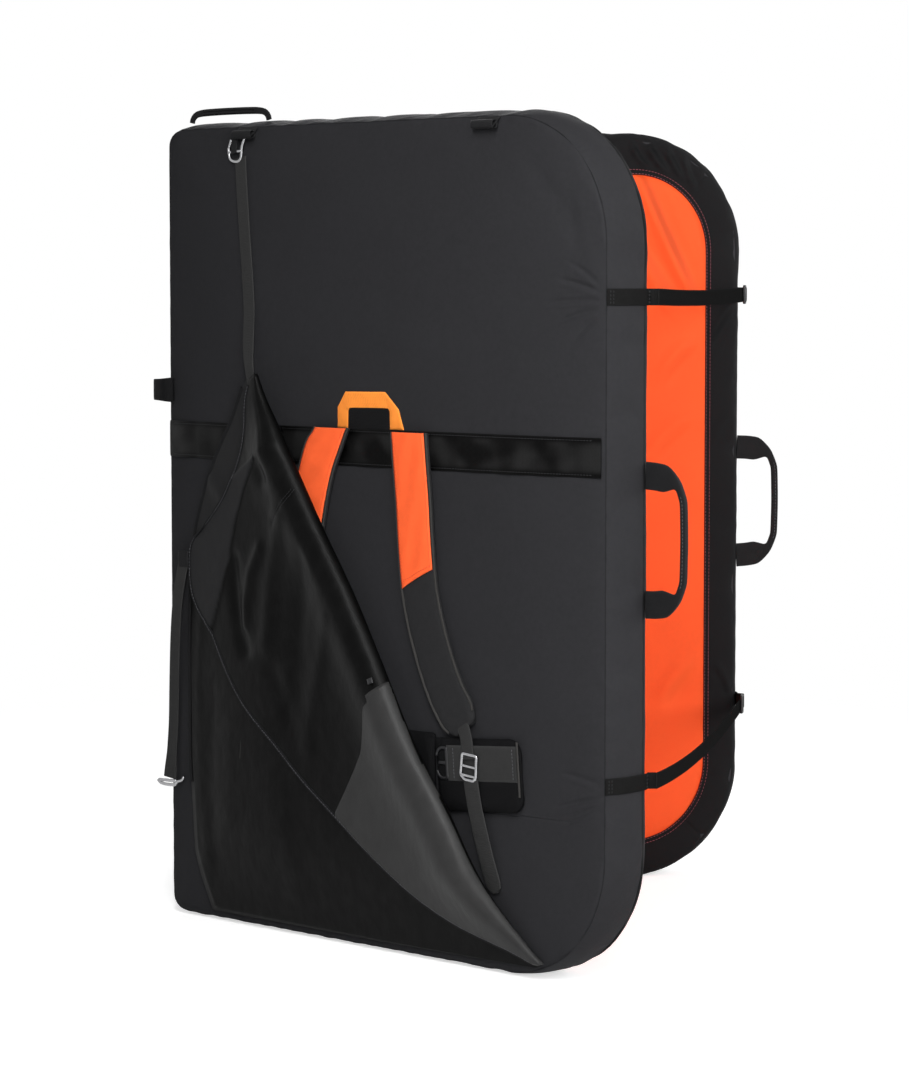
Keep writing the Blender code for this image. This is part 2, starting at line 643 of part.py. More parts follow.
def ladder_buckle(name, centre, lean, axis):
    slot_x = BUCKLE_WIDTH - 2 * BUCKLE_BAR
    slot_z = (BUCKLE_HEIGHT - 3 * BUCKLE_BAR) / 2
    bm = lattice(("###", "#.#", "###", "#.#", "###"), (BUCKLE_BAR, slot_x, BUCKLE_BAR),
                 (BUCKLE_BAR, slot_z, BUCKLE_BAR, slot_z, BUCKLE_BAR), BUCKLE_THICKNESS, centre, lean)
    add_body(name, bm, "metal", axis)


def wire_hook(name, centre, lean, axis):
    """A flat metal hook: a slotted top for the webbing and an open hook below."""
    slot_x = HOOK_WIDTH - 2 * HOOK_BAR
    slot_z = (HOOK_HEIGHT - 3 * HOOK_BAR) / 2
    bm = lattice(("###", "#.#", "###", "..#", "###", "#.."), (HOOK_BAR, slot_x, HOOK_BAR),
                 (HOOK_BAR, slot_z, HOOK_BAR, slot_z, HOOK_BAR, HOOK_BAR), BUCKLE_THICKNESS, centre, lean)
    add_body(name, bm, "metal", axis)


def shoulder_strap(side, line, web, buckle, tail):
    """A padded strap with its sleeve, webbing, buckle and tail, on an axis along its highest corner."""
    body_lift = STRAP_LIFT + STRAP_THICKNESS / 2
    top, below = (on_face(*share, body_lift) for share in line[:2])
    tilt = abs(top.x - below.x) / (top - below).length
    axis = add_axis(f"{side}_strap_axis", top + UP * STRAP_PAD / 2 * tilt)
    widths = [STRAP_PAD] * (STRAP_ROWS - len(STRAP_END_SHARES)) + [STRAP_PAD * s for s in STRAP_END_SHARES]
    bm = face_sweep(line, body_lift, widths, STRAP_THICKNESS, STRAP_ROWS, PILLOW_SHARES)
    add_body(f"{side}_strap_pad", bm, "pad_grey", axis)
    count = round(STRAP_ROWS * SLEEVE_SHARE)
    sleeve = smooth_line([Vector((*s, 0)) for s in line], STRAP_ROWS)[:count]
    bm = face_sweep([(p.x, p.y) for p in sleeve], STRAP_LIFT + STRAP_THICKNESS + GAP + SLEEVE_CLOTH / 2,
                    STRAP_PAD * SLEEVE_WIDTH_SHARE, SLEEVE_CLOTH, count)
    add_body(f"{side}_strap_sleeve", bm, "strap_orange", axis)
    clear = (BUCKLE_HEIGHT / 2 + BUCKLE_GAP) / PAD_HEIGHT
    web = (*web, (buckle[0], BUCKLE_Z_SHARE + clear))
    tail = ((buckle[1], BUCKLE_Z_SHARE - clear), *tail)
    bm = face_sweep(web, (STRAP_LIFT + STRAP_THICKNESS, BUCKLE_LIFT), STRAP_WEB, WEB, WEB_ROWS)
    add_body(f"{side}_strap_web", bm, "web_black", axis)
    lean = math.atan2((buckle[1] - buckle[0]) * PAD_WIDTH, 2 * clear * PAD_HEIGHT)
    place = on_face(sum(buckle) / 2, BUCKLE_Z_SHARE, BUCKLE_LIFT)
    ladder_buckle(f"{side}_strap_buckle", place, lean, axis)
    widths = [STRAP_WEB] * (TAIL_ROWS - 1) + [STRAP_WEB * TAIL_END_SHARE]
    add_body(f"{side}_strap_tail", face_sweep(tail, BUCKLE_LIFT, widths, WEB, TAIL_ROWS), "web_black", axis)


def rounded_panel(left, right, low, high, radius, inner_left, y, thickness):
    """A flat pad in the XZ plane, rounded at its free end."""
    points = [(inner_left, low), (inner_left, high)]
    free, turn = (right, 1) if inner_left == left else (left, -1)
    for k in range(WING_STEPS + 1):
        angle = math.pi / 2 * (1 - k / WING_STEPS)
        points.append((free - turn * radius * (1 - math.cos(angle)), high - radius * (1 - math.sin(angle))))
    for k in range(WING_STEPS + 1):
        angle = -math.pi / 2 * k / WING_STEPS
        points.append((free - turn * radius * (1 - math.cos(angle)), low + radius * (1 + math.sin(angle))))
    return [[Vector((x, y + offset, z)) for x, z in points] for offset in (-thickness / 2, thickness / 2)]


def hip_belt():
    """The belt's sewn-down middle, and a wing on each side that swings out."""
    strap_end = RIGHT_STRAP_SHARES[-1][1]
    left, high = at(BELT_LEFT_SHARE, strap_end)
    right = at(BELT_RIGHT_SHARE, strap_end)[0]
    high -= BELT_STRAP_GAP
    low = high - BELT_HEIGHT
    y = -HALF_DEPTH - HARNESS_CROWN - BELT_LIFT - BELT_PAD / 2
    z = (low + high) / 2
    path = [Vector((x, y, z)) for x in (left, right)]
    add_body("hip_belt_middle", sweep(path, UP, BELT_HEIGHT, BELT_PAD, PILLOW_SHARES), "pad_grey")
    for side, root, turn in (("right", right, 1), ("left", left, -1)):
        axis = add_axis(f"{side}_wing_axis", (root + turn * WING_GAP / 2, y - BELT_PAD / 2, z))
        start = root + turn * WING_GAP
        end = start + turn * WING_LENGTH
        rings = rounded_panel(min(start, end), max(start, end), low, high, WING_RADIUS, start, y, BELT_PAD)
        add_body(f"{side}_hip_wing", loft(rings), "pad_grey", axis)
        web_y = y - BELT_PAD / 2 - GAP - WEB / 2
        web_z = low + BELT_HEIGHT * BELT_WEB_RISE_SHARE
        web_run = (BELT_WEB_INSET, WING_LENGTH - BELT_WEB_END)
        path = [Vector((start + turn * d, web_y, web_z)) for d in web_run]
        add_body(f"{side}_hip_web", sweep(path, UP, BELT_WEB, WEB), "web_black", axis)
        buckle_x = start + turn * (BELT_WEB_INSET - GAP - BELT_BUCKLE_LENGTH / 2)
        pattern = ("###", "..#", "###", "..#", "###") if turn > 0 else ("###", "#..", "###", "#..", "###")
        bm = lattice(pattern, (BELT_BUCKLE_LENGTH / 3,) * 3, (BELT_WEB / 6,) * 5, BUCKLE_THICKNESS,
                     (buckle_x, web_y + WEB / 2 - BUCKLE_THICKNESS / 2, web_z))
        add_body(f"{side}_hip_buckle", bm, "plastic_black", axis)


def ease(value):
    """A smooth step from 0 to 1."""
    t = min(max(value, 0), 1)
    return t * t * (3 - 2 * t)


def flap_lift(x, z):
    """How far the flap's under layer stands off the face: low at its sewn edges, high over the harness."""
    left = min(FLAP_UNDER_SHARES)[0]
    side = ease((x - SPINE_X - PAD_WIDTH * left) / FLAP_SIDE_LENGTH)
    base = ease((z - LOW_SEAM) / FLAP_BASE_LENGTH)
    return FLAP_EDGE_LIFT + (FLAP_STACK_LIFT - FLAP_EDGE_LIFT) * side * base


def fold_rise(x, z):
    """The height of the flap's main folds at a place."""
    rise = 0
    for start, end, height, spread_run in FLAP_FOLD_SHARES:
        a, b = Vector(at(*start)), Vector(at(*end))
        here = Vector((x, z))
        t = min(max((here - a).dot(b - a) / (b - a).length_squared, 0), 1)
        distance = (here - a.lerp(b, t)).length
        rise += height * math.exp(-(distance / spread_run) ** 2)
    return rise


def flap_grid():
    """Rows of points across the folded flap, from its sewn edge over the crease to its free hem."""
    def line(shares):
        return smooth_line([Vector((*at(*s), 0)) for s in shares], FLAP_ROWS)
    rows = []
    under_line = spread([Vector((*at(*s), 0)) for s in FLAP_UNDER_SHARES], FLAP_ROWS)
    for under, crease, hem in zip(under_line, line(FLAP_CREASE_SHARES), line(FLAP_HEM_SHARES)):
        radius = FLAP_CREASE_GAP / 2
        away = (crease - under).normalized()
        start = crease - away * radius
        row = []
        for k in range(FLAP_UNDER_COLUMNS):
            p = under.lerp(start, k / FLAP_UNDER_COLUMNS)
            row.append(Vector((p.x, face_y(p.x, p.y) - flap_lift(p.x, p.y), p.y)))
        under_y = face_y(start.x, start.y) - flap_lift(start.x, start.y)
        for k in range(FLAP_CREASE_STEPS + 2):
            angle = math.pi * k / (FLAP_CREASE_STEPS + 1)
            p = start + away * radius * math.sin(angle)
            row.append(Vector((p.x, under_y - radius * (1 - math.cos(angle)), p.y)))
        for k in range(1, FLAP_OVER_COLUMNS + 1):
            p = start.lerp(hem, k / FLAP_OVER_COLUMNS)
            fade = math.exp(-(p - start).length / FLAP_CREASE_LENGTH)
            gap = FLAP_HEM_GAP + (FLAP_CREASE_GAP - FLAP_HEM_GAP) * fade
            rise = fold_rise(p.x, p.y) * ease((p - start).length / FLAP_CREASE_LENGTH)
            row.append(Vector((p.x, face_y(p.x, p.y) - flap_lift(p.x, p.y) - gap - rise, p.y)))
        rows.append(row)
    return rows


def thicken(body, thickness):
    """Gives an open sheet its thickness, half on each side."""
    solid = body.modifiers.new("Thickness", "SOLIDIFY")
    solid.thickness = thickness
    solid.offset = 0


def sheet(rows):
    bm = bmesh.new()
    grid = [[bm.verts.new(point) for point in row] for row in rows]
    for low, high in zip(grid, grid[1:]):
        for i in range(len(low) - 1):
            bm.faces.new((low[i], low[i + 1], high[i + 1], high[i]))
    return bm


def flap():
    """The cover flap, its right part folded back to the left, with the straps and hooks on its corners."""
    hinge_x, hinge_z = at(0.5, FLAP_HINGE_SHARE)
    axis = add_axis("flap_axis", (hinge_x, -HALF_DEPTH - FLAP_EDGE_LIFT, hinge_z))
    rows = flap_grid()
    thicken(add_body("flap_sheet", sheet(rows), "flap_coated", axis), FLAP_CLOTH)
    first_row = round(FLAP_ROWS * FLAP_PANEL_ROW_SHARE)
    first_column = len(rows[0]) - FLAP_OVER_COLUMNS
    panel = [[p + OUTWARD * FLAP_PANEL_LIFT for p in row[first_column:-1]] for row in rows[first_row:-1]]
    thicken(add_body("flap_panel", sheet(panel), "flap_matte", axis), FLAP_PANEL_CLOTH)
    half_hook = (HOOK_HEIGHT + HOOK_BAR) / 2
    loop_low = HIGH_SEAM - LOOP_DROP - LOOP_RADIUS
    hook_z_share = (loop_low - HOOK_LOOP_GAP - half_hook - LOW_SEAM) / PAD_HEIGHT
    half_hook += HOOK_GAP
    line = (*TOP_STRAP_SHARES, (TOP_HOOK_SHARE, hook_z_share - half_hook / PAD_HEIGHT))
    bm = face_sweep(line, TOP_STRAP_LIFT, STRAP_WEB, WEB, TOP_STRAP_ROWS)
    add_body("flap_top_strap", bm, "web_black", axis)
    wire_hook("flap_top_hook", on_face(TOP_HOOK_SHARE, hook_z_share, TOP_STRAP_LIFT), math.pi, axis)
    tab_top = on_face(*CORNER_STRAP_SHARES[0], CORNER_STRAP_LIFT)
    path = [tab_top + UP * (CORNER_TAB + WEB), tab_top + UP * WEB]
    add_body("flap_corner_tab", sweep(path, Vector((1, 0, 0)), STRAP_WEB, 2 * WEB), "web_black", axis)
    corner = add_axis("corner_strap_axis", tab_top, axis)
    line = smooth_line([Vector((*at(*s), 0)) for s in CORNER_STRAP_SHARES], CORNER_STRAP_ROWS)
    path = [Vector((p.x, tab_top.y, p.y)) for p in line]
    add_body("flap_corner_strap", sweep(path, Vector((1, 0, 0)), STRAP_WEB, WEB), "web_black", corner)
    end = path[-1]
    wire_hook("flap_corner_hook", end - UP * half_hook, 0.0, corner)


def seam_loop(name, width_share):
    """A rolled webbing loop in the top seam, which a flap hook goes into."""
    x = SPINE_X + PAD_WIDTH * width_share
    y, z = -HALF_DEPTH - LOOP_STAND, HIGH_SEAM - LOOP_DROP
    rings = []
    for end, radius in ((-1, LOOP_RADIUS), (1, LOOP_RADIUS), (1, LOOP_RADIUS - WEB), (-1, LOOP_RADIUS - WEB)):
        turns = [2 * math.pi * k / LOOP_STEPS for k in range(LOOP_STEPS)]
        rings.append([Vector((x + end * LOOP_WIDTH / 2, y + radius * math.cos(a), z + radius * math.sin(a)))
                      for a in turns])
    add_body(name, loft(rings, capped=False), "web_black")


def closure_strap(level, height_share, fold_axis):
    """A strap across the opening: its root on the front wall, a lead, the long run and the rear anchor."""
    z = LOW_SEAM + PAD_HEIGHT * height_share
    stand = EDGE_X + CLOSURE_STAND
    wall = EDGE_X + GAP + WEB / 2
    root = [Vector((wall + SIDE_BULGE * wall_swell(s), HALF_DEPTH * s, z)) for s in WALL_SHARES]
    add_body(f"{level}_strap_root", sweep(root, UP, CLOSURE_WEB, WEB), "web_black")
    add_body(f"{level}_strap_anchor", sweep(root, UP, CLOSURE_WEB, WEB), "web_black", fold_axis)
    start = Vector((stand, FOLD_Y, z))
    reach = 2 * (stand - FOLD_X) * math.sin(OPEN_ANGLE / 2)
    heading = math.pi / 2 + OPEN_ANGLE / 2
    along = Vector((math.cos(heading), math.sin(heading), 0))
    lead_axis = add_axis(f"{level}_lead_axis", start)
    path = [start + along * CLOSURE_START_GAP, start + along * (CLOSURE_LEAD - GAP)]
    add_body(f"{level}_strap_lead", sweep(path, UP, CLOSURE_WEB, WEB), "web_black", lead_axis)
    bend = start + along * CLOSURE_LEAD
    run_axis = add_axis(f"{level}_run_axis", bend, lead_axis)
    path = [bend, start + along * (reach - CLOSURE_END_GAP)]
    add_body(f"{level}_strap_run", sweep(path, UP, CLOSURE_WEB, WEB), "web_black", run_axis)
    off = along.cross(UP) * (WEB + GAP)
    path = [start + along * (reach - SLIDER_BACK - d) + off for d in (0, SLIDER_LENGTH)]
    bm = sweep(path, UP, CLOSURE_WEB + 2 * BUCKLE_BAR, WEB)
    add_body(f"{level}_strap_slider", bm, "plastic_black", run_axis)


def build():
    clear_scene()
    fold_axis = add_axis("fold_axis", (FOLD_X, FOLD_Y, 0), mirrored=True)
    fold_axis.rotation_euler.z = OPEN_ANGLE
    half("front", None)
    half("rear", fold_axis)
    side_handle("front", None)
    side_handle("rear", fold_axis)
    top_handle()
    spine_loop()
    load_band()
    haul_loop()
    shoulder_strap("right", RIGHT_STRAP_SHARES, RIGHT_WEB_SHARES, RIGHT_BUCKLE_SHARES, RIGHT_TAIL_SHARES)
    shoulder_strap("left", LEFT_STRAP_SHARES, LEFT_WEB_SHARES, LEFT_BUCKLE_SHARES, LEFT_TAIL_SHARES)
    hip_belt()
    flap()
    for side, share in zip(("left", "right"), LOOP_SHARES):
        seam_loop(f"top_{side}_loop", share)
    for level, share in zip(("upper", "lower"), CLOSURE_SHARES):
        closure_strap(level, share, fold_axis)


build()
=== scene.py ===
# %% [markdown]
# # A folding bouldering mat, dressed for a photograph
#
# A bouldering mat is two slabs of foam in heavy cloth covers, joined along one edge like a book. Closed, it
# is carried on the back, so one outer face has shoulder straps, a hip belt, a load band and a cover flap.
#
# The working model holds the sizes and the joints. This script loads it as a fixed frame and gives every
# surface the look of the real thing. Everything is in metres, with Z up.

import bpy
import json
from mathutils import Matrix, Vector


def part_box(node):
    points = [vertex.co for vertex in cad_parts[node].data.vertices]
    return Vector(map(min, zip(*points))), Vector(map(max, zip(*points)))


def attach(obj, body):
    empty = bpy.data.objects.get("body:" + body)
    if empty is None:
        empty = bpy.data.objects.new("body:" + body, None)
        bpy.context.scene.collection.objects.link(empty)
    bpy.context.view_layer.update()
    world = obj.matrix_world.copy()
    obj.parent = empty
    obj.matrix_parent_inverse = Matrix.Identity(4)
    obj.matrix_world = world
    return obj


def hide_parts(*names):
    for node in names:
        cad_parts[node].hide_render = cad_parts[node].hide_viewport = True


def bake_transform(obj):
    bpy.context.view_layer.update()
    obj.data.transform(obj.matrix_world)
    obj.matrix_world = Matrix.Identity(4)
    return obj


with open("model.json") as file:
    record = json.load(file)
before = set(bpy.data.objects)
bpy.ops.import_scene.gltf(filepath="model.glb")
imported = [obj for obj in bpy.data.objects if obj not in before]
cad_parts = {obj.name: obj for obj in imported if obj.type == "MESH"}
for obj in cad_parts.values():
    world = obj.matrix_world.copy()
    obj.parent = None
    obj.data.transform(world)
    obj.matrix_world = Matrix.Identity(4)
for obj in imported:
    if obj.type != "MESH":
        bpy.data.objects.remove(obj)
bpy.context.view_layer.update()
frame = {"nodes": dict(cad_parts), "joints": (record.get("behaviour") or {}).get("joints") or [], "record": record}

# %% Blender's modules
import json
import math

import bpy
import numpy as np
from mathutils import Matrix, Vector

# %% [markdown]
# ## The camera
#
# The photograph was taken with a long lens from a few metres away, a little above the middle of the mat. A
# camera can be matched by eye, but here the place and the turn were worked out from the two halves, which
# are equal, so the script only states them. Blender's automatic sensor fit gives the sensor's width to the
# longer side of the frame, which is the height here.

# %% Camera
IMAGE_HEIGHT = 1074
FOCAL_PIXELS = 3339.5
CAMERA_PLACE = Vector((3.078, -3.186, 0.889))
CAMERA_HEADING = math.radians(43.0)
CAMERA_PITCH = math.radians(4.38)

camera = bpy.data.objects.new("camera", bpy.data.cameras.new("camera"))
bpy.context.scene.collection.objects.link(camera)
camera.data.lens = camera.data.sensor_width * FOCAL_PIXELS / IMAGE_HEIGHT
camera.location = CAMERA_PLACE
camera.rotation_euler = (math.pi / 2 - CAMERA_PITCH, 0, CAMERA_HEADING)
bpy.context.scene.camera = camera
bpy.context.scene.view_settings.view_transform = "Standard"
print("lens:", round(camera.data.lens, 2), "mm")

# %% [markdown]
# ## Shader maths as Python
#
# A node tree for cloth is mostly arithmetic: a wave times a wave, a noise scaled down, one minus a mask.
# Wiring Math nodes by hand hides that arithmetic, so one small class wraps a node's output and lets
# Python's operators add the nodes. Colours and vectors would turn grey in a Math node, so those go through
# Mix and Vector Math.

# %% A socket with operators
class Socket:
    """The output of a node. Arithmetic on it adds Math nodes to its material."""

    def __init__(self, finish, socket):
        self.finish = finish
        self.socket = socket

    def math(self, operation, *others):
        values = dict(enumerate((self, *others)))
        return self.finish.node("ShaderNodeMath", {"operation": operation}, values)

    def __add__(self, other):
        return self.math("ADD", other)

    def __sub__(self, other):
        return self.math("SUBTRACT", other)

    def __mul__(self, other):
        return self.math("MULTIPLY", other)

    def __rsub__(self, other):
        return self.math("MULTIPLY", -1.0).math("ADD", other)

    __radd__ = __add__
    __rmul__ = __mul__

    def wave(self, pitch):
        """A sine of this value that repeats at a pitch in metres."""
        return (self * (2 * math.pi / pitch)).math("SINE")

    def step(self, low, high):
        """Rises smoothly from 0 at low to 1 at high."""
        values = {"Value": self, "From Min": low, "From Max": high}
        return self.finish.node("ShaderNodeMapRange", {"interpolation_type": "SMOOTHSTEP"}, values)


# %% A material under construction
class Finish:
    """A material with a Principled shader, whose nodes are added by name and number."""

    def __init__(self, name, **constants):
        self.material = bpy.data.materials.new(name)
        self.material.use_nodes = True
        self.tree = self.material.node_tree
        self.shader = self.tree.nodes["Principled BSDF"]
        for socket, value in constants.items():
            self.shader.inputs[socket.replace("_", " ")].default_value = value

    def node(self, kind, settings=None, values=None, output=0):
        made = self.tree.nodes.new(kind)
        for key, value in (settings or {}).items():
            setattr(made, key, value)
        for key, value in (values or {}).items():
            self.feed(made.inputs[key], value)
        return Socket(self, made.outputs[output])

    def feed(self, socket, value):
        if isinstance(value, Socket):
            self.tree.links.new(value.socket, socket)
        else:
            socket.default_value = value

    def place(self):
        """The point on the piece, in metres, as x, y and z."""
        point = self.node("ShaderNodeTexCoord", output="Object")
        return point, [self.node("ShaderNodeSeparateXYZ", {}, {0: point}, k) for k in range(3)]

    def measure(self, name):
        """A number that the piece's mesh holds at each point."""
        return self.node("ShaderNodeAttribute", {"attribute_name": name}, output="Fac")

    def noise(self, point, scale, detail=2.0, stretch=None):
        """Noise from 0 to 1, of so many lumps a metre, drawn out by a stretch along each axis."""
        if stretch:
            point = self.node("ShaderNodeVectorMath", {"operation": "MULTIPLY"}, {0: point, 1: stretch})
        values = {"Vector": point, "Scale": scale, "Detail": detail}
        return self.node("ShaderNodeTexNoise", {}, values)

    def mix(self, factor, first, second):
        """From the first colour to the second as the factor goes from 0 to 1."""
        return self.node("ShaderNodeMix", {"data_type": "RGBA"}, {0: factor, 6: first, 7: second}, 2)

    def shaded(self, colour, shade):
        """A colour, lighter or darker by a varying share."""
        return self.node("ShaderNodeVectorMath", {"operation": "SCALE"}, {0: colour, "Scale": shade})

    def set(self, socket, value):
        self.feed(self.shader.inputs[socket], value)

    def bump(self, height, distance, strength=1.0):
        """Raises the surface by a height from 0 to 1, times a distance in metres."""
        values = {"Height": height, "Distance": distance, "Strength": strength}
        self.set("Normal", self.node("ShaderNodeBump", {}, values))


# %% Colours as they are seen
def linear(red, green, blue):
    """An 8-bit sRGB colour as the linear colour that a shader takes."""
    shares = [c / 255 for c in (red, green, blue)]
    return tuple(c / 12.92 if c <= 0.04045 else ((c + 0.055) / 1.055) ** 2.4 for c in shares)


def opaque(colour):
    return (*linear(*colour), 1.0)


# %% [markdown]
# ## The finishes
#
# The covers are heavy coated polyester. Close up it is a plain weave of threads about a millimetre apart,
# and from a few steps away only a fine mottling is left of it. A picture of cloth could be wrapped on, but
# it would repeat and blur. Here two waves cross each other for the weave and noise adds the mottling, so
# that the cloth holds up at any distance. Its gloss is weak, because the threads scatter light.

# %% Woven cloth
WEAVE_PITCH = 0.0011
RELIEF_DEPTH = 0.00012


def creases(cloth, lines):
    """A height in metres for narrow folds, each a line on a half with a width and a height."""
    x, z = cloth.measure("plan_x"), cloth.measure("plan_z")
    total = 0
    for (x0, z0), (x1, z1), width, height in lines:
        length = math.hypot(x1 - x0, z1 - z0)
        ux, uz = (x1 - x0) / length, (z1 - z0) / length
        along = x * ux + z * uz - (x0 * ux + z0 * uz)
        across = z * ux - x * uz - (z0 * ux - x0 * uz) + along.wave(length * 2.2) * (width * 0.5)
        bell = (across * across * (-1 / width ** 2)).math("EXPONENT")
        flank = ((across - width * 1.3) * (across - width * 1.3) * (-1 / width ** 2)).math("EXPONENT")
        fade = along.step(-0.08 * length, 0.35 * length) * (1 - along.step(0.60 * length, 1.08 * length))
        total = (bell - flank * 0.45) * fade * height + total
    return total


def woven(name, colour, roughness, gloss, mottling=0.10, folds=()):
    cloth = Finish(name, Specular_IOR_Level=gloss)
    point, (x, y, z) = cloth.place()
    threads = (x + y).wave(WEAVE_PITCH) * z.wave(WEAVE_PITCH)
    slubs = cloth.noise(point, 160, 3.0) - 0.5
    clouds = cloth.noise(point, 7, 2.0) - 0.5
    # Along the seams the colour is darkened: partly the thread's own tone, partly painted shade of the seam's
    # groove.
    seam = cloth.measure("seam").step(0.15, 1.0)
    shade = 1 + threads * 0.06 + slubs * mottling * 2 + clouds * 0.16 - seam * 0.45
    cloth.set("Base Color", cloth.shaded(linear(*colour), shade))
    cloth.set("Roughness", roughness + slubs * 0.12)
    relief = threads * 0.5 + slubs * 1.2
    if folds:
        relief = relief + creases(cloth, folds) * cloth.measure("creased") * (1 / RELIEF_DEPTH)
    cloth.bump(relief, RELIEF_DEPTH)
    return cloth.material


CLOTHS = {
    "cover_black": ((44, 44, 46), 0.66, 0.02, 0.12),
    "border_black": ((28, 28, 29), 0.70, 0.04, 0.12),
    "panel_orange": ((255, 96, 46), 0.62, 0.10, 0.04),
    "strap_orange": ((255, 103, 54), 0.62, 0.08, 0.05),
    "pad_grey": ((42, 42, 43), 0.75, 0.03, 0.16),
}
FINISHES = {name: woven(name, *values) for name, values in CLOTHS.items()}
print("woven:", *FINISHES)

# %% [markdown]
# Webbing is woven much thicker than cloth, in ribs that run across it, with a rounded selvage on each side.
# Each strap that is made below holds, at each point, how far along and across the strap it is. The pattern
# reads those two numbers, so that the ribs follow every bend.

# %% Webbing
RIB_PITCH, CORD_PITCH = 0.0021, 0.0016
WAVER_PITCH, WAVER_DEPTH = 0.009, 0.0004
RIB_DEPTH = 0.00018


def webbing(name, colour, roughness, gloss, painted_sheen=0.0):
    web = Finish(name, Specular_IOR_Level=gloss)
    point, _ = web.place()
    along, across = web.measure("along"), web.measure("across")
    ribs = (along + across.wave(WAVER_PITCH) * WAVER_DEPTH).wave(RIB_PITCH)
    cords = across.wave(CORD_PITCH)
    worn = web.noise(point, 90, 3.0) - 0.5
    edge = web.measure("edge").step(0.80, 1.0)
    shade = 1 + ribs * 0.10 + cords * 0.05 + worn * 0.30 + edge * 0.25
    # Painted sheen: shiny and dark blotches on the colour, fading towards the edges, stand for the highlights on a
    # swelling band.
    if painted_sheen:
        painted_sheen_blots = web.noise(point, 17, 1.5).step(0.36, 0.62) * (1 - (across * across * 2000).step(0.4, 1.0))
        shade = shade + (painted_sheen_blots - 0.45) * painted_sheen
    web.set("Base Color", web.shaded(linear(*colour), shade))
    web.set("Roughness", roughness + worn * 0.20)
    web.bump(ribs * 0.5 + cords * 0.3, RIB_DEPTH)
    return web.material


WEBBINGS = {
    "web_black": ((31, 31, 32), 0.55, 0.04),
    "web_strap": ((48, 48, 48), 0.55, 0.05),
    "web_band": ((18, 18, 19), 0.50, 0.04),
    "web_closure": ((26, 26, 26), 0.75, 0.0),
    "loop_orange": ((255, 150, 62), 0.55, 0.05),
}
FINISHES |= {name: webbing(name, *values) for name, values in WEBBINGS.items()}
print("webbings:", *WEBBINGS)

# %% [markdown]
# The flap is a coated sheet. The coating fills the weave, so it is smoother than the covers and shows soft
# highlights along every fold, broken up by fine creases. A strong coat over the colour could give that
# gloss, but under wide lamps it turns the whole sheet grey. So the gloss comes mostly from a lower
# roughness, and the coat is thin. The inset panel is the same sheet with its matte side out. Where the
# lining shows, a mask on the mesh changes the colour and takes the coat away.

# %% Coated sheet
GRID_PITCH, CRINKLE_DEPTH = 0.0045, 0.0009


def coated(name, colour, lining_colour, roughness, gloss, coat):
    sheet = Finish(name, Specular_IOR_Level=gloss, Coat_Roughness=0.30, Coat_IOR=1.4)
    point, (x, y, z) = sheet.place()
    crinkle = sheet.noise(point, 55, 5.0, (1.0, 0.4, 0.7)) - 0.5
    fine = sheet.noise(point, 420, 2.0) - 0.5
    grid = (x + y).wave(GRID_PITCH) * z.wave(GRID_PITCH)
    seam = sheet.measure("seam").step(0.15, 1.0)
    lining = sheet.measure("lining")
    shade = 1 + crinkle * 0.35 + fine * 0.14 - seam * 0.40
    base = sheet.mix(lining, opaque(colour), opaque(lining_colour))
    sheet.set("Base Color", sheet.shaded(base, shade))
    sheet.set("Roughness", roughness + crinkle * 0.25 + lining * 0.2)
    sheet.set("Coat Weight", (coat + crinkle * 0.15) * (1 - lining))
    sheet.bump(crinkle * 2.0 + fine * 0.15 + grid * 0.06, CRINKLE_DEPTH, 0.5)
    return sheet.material


FINISHES["flap_coated"] = coated("flap_coated", (7, 7, 7), (37, 37, 38), 0.36, 0.052, 0.01)
FINISHES["flap_matte"] = coated("flap_matte", (46, 46, 46), (46, 46, 46), 0.36, 0.090, 0.04)

# %% [markdown]
# The hooks and ladder buckles are cast and tumbled steel, the belt's buckle is moulded plastic with a fine
# grain, and the foam has open cells.

# %% Metal, plastic, thread and foam
def steel():
    metal = Finish("metal", Metallic=1.0)
    point, _ = metal.place()
    brushed = metal.noise(point, 700, 3.0, (1.0, 1.0, 0.08)) - 0.5
    dull = metal.noise(point, 120, 2.0) - 0.5
    metal.set("Base Color", metal.shaded(linear(158, 158, 160), 1 + dull * 0.25 + brushed * 0.15))
    metal.set("Roughness", 0.20 + dull * 0.20 + brushed * 0.12)
    metal.bump(brushed + 0.5, 0.00005)
    return metal.material


def grained(name, colour, roughness, lumps, depth, variation=0.15):
    """Plastic, thread or foam: one colour with a grain of so many lumps a metre."""
    stuff = Finish(name, Specular_IOR_Level=0.3)
    point, _ = stuff.place()
    grain = stuff.noise(point, lumps, 2.0) - 0.5
    stuff.set("Base Color", stuff.shaded(linear(*colour), 1 + grain * variation * 2))
    stuff.set("Roughness", roughness + grain * 0.1)
    stuff.bump(grain + 0.5, depth)
    return stuff.material


FINISHES |= {
    "metal": steel(),
    "plastic_black": grained("plastic_black", (22, 22, 24), 0.42, 1500, 0.00004),
    "foam_soft": grained("foam_soft", (120, 122, 126), 0.95, 500, 0.0008, 0.3),
    "foam_firm": grained("foam_firm", (44, 45, 48), 0.90, 700, 0.0004, 0.3),
}
THREADS = {"black": (34, 34, 36), "grey": (84, 84, 88), "pink": (150, 84, 92), "orange": (232, 86, 48)}
THREAD_GRAIN = (0.60, 3000, 0.00005, 0.3)
for name, colour in THREADS.items():
    FINISHES[f"thread_{name}"] = grained(f"thread_{name}", colour, *THREAD_GRAIN)

# The working model's slot, for each finish that isn't a slot by its own name.
SLOTS = dict.fromkeys(("web_band", "web_strap", "web_closure", "thread_black", "thread_grey"), "web_black")
SLOTS |= {"thread_pink": "panel_orange", "thread_orange": "strap_orange"}
print(len(FINISHES), "finishes")

# %% [markdown]
# ## The two halves, and places on them
#
# The front half stands in the XZ plane with its harness face towards -Y. The rear half is the same body,
# mirrored in the fold and turned about it. So every piece is made as if it were on the front half, and one
# matrix carries a copy to the rear.

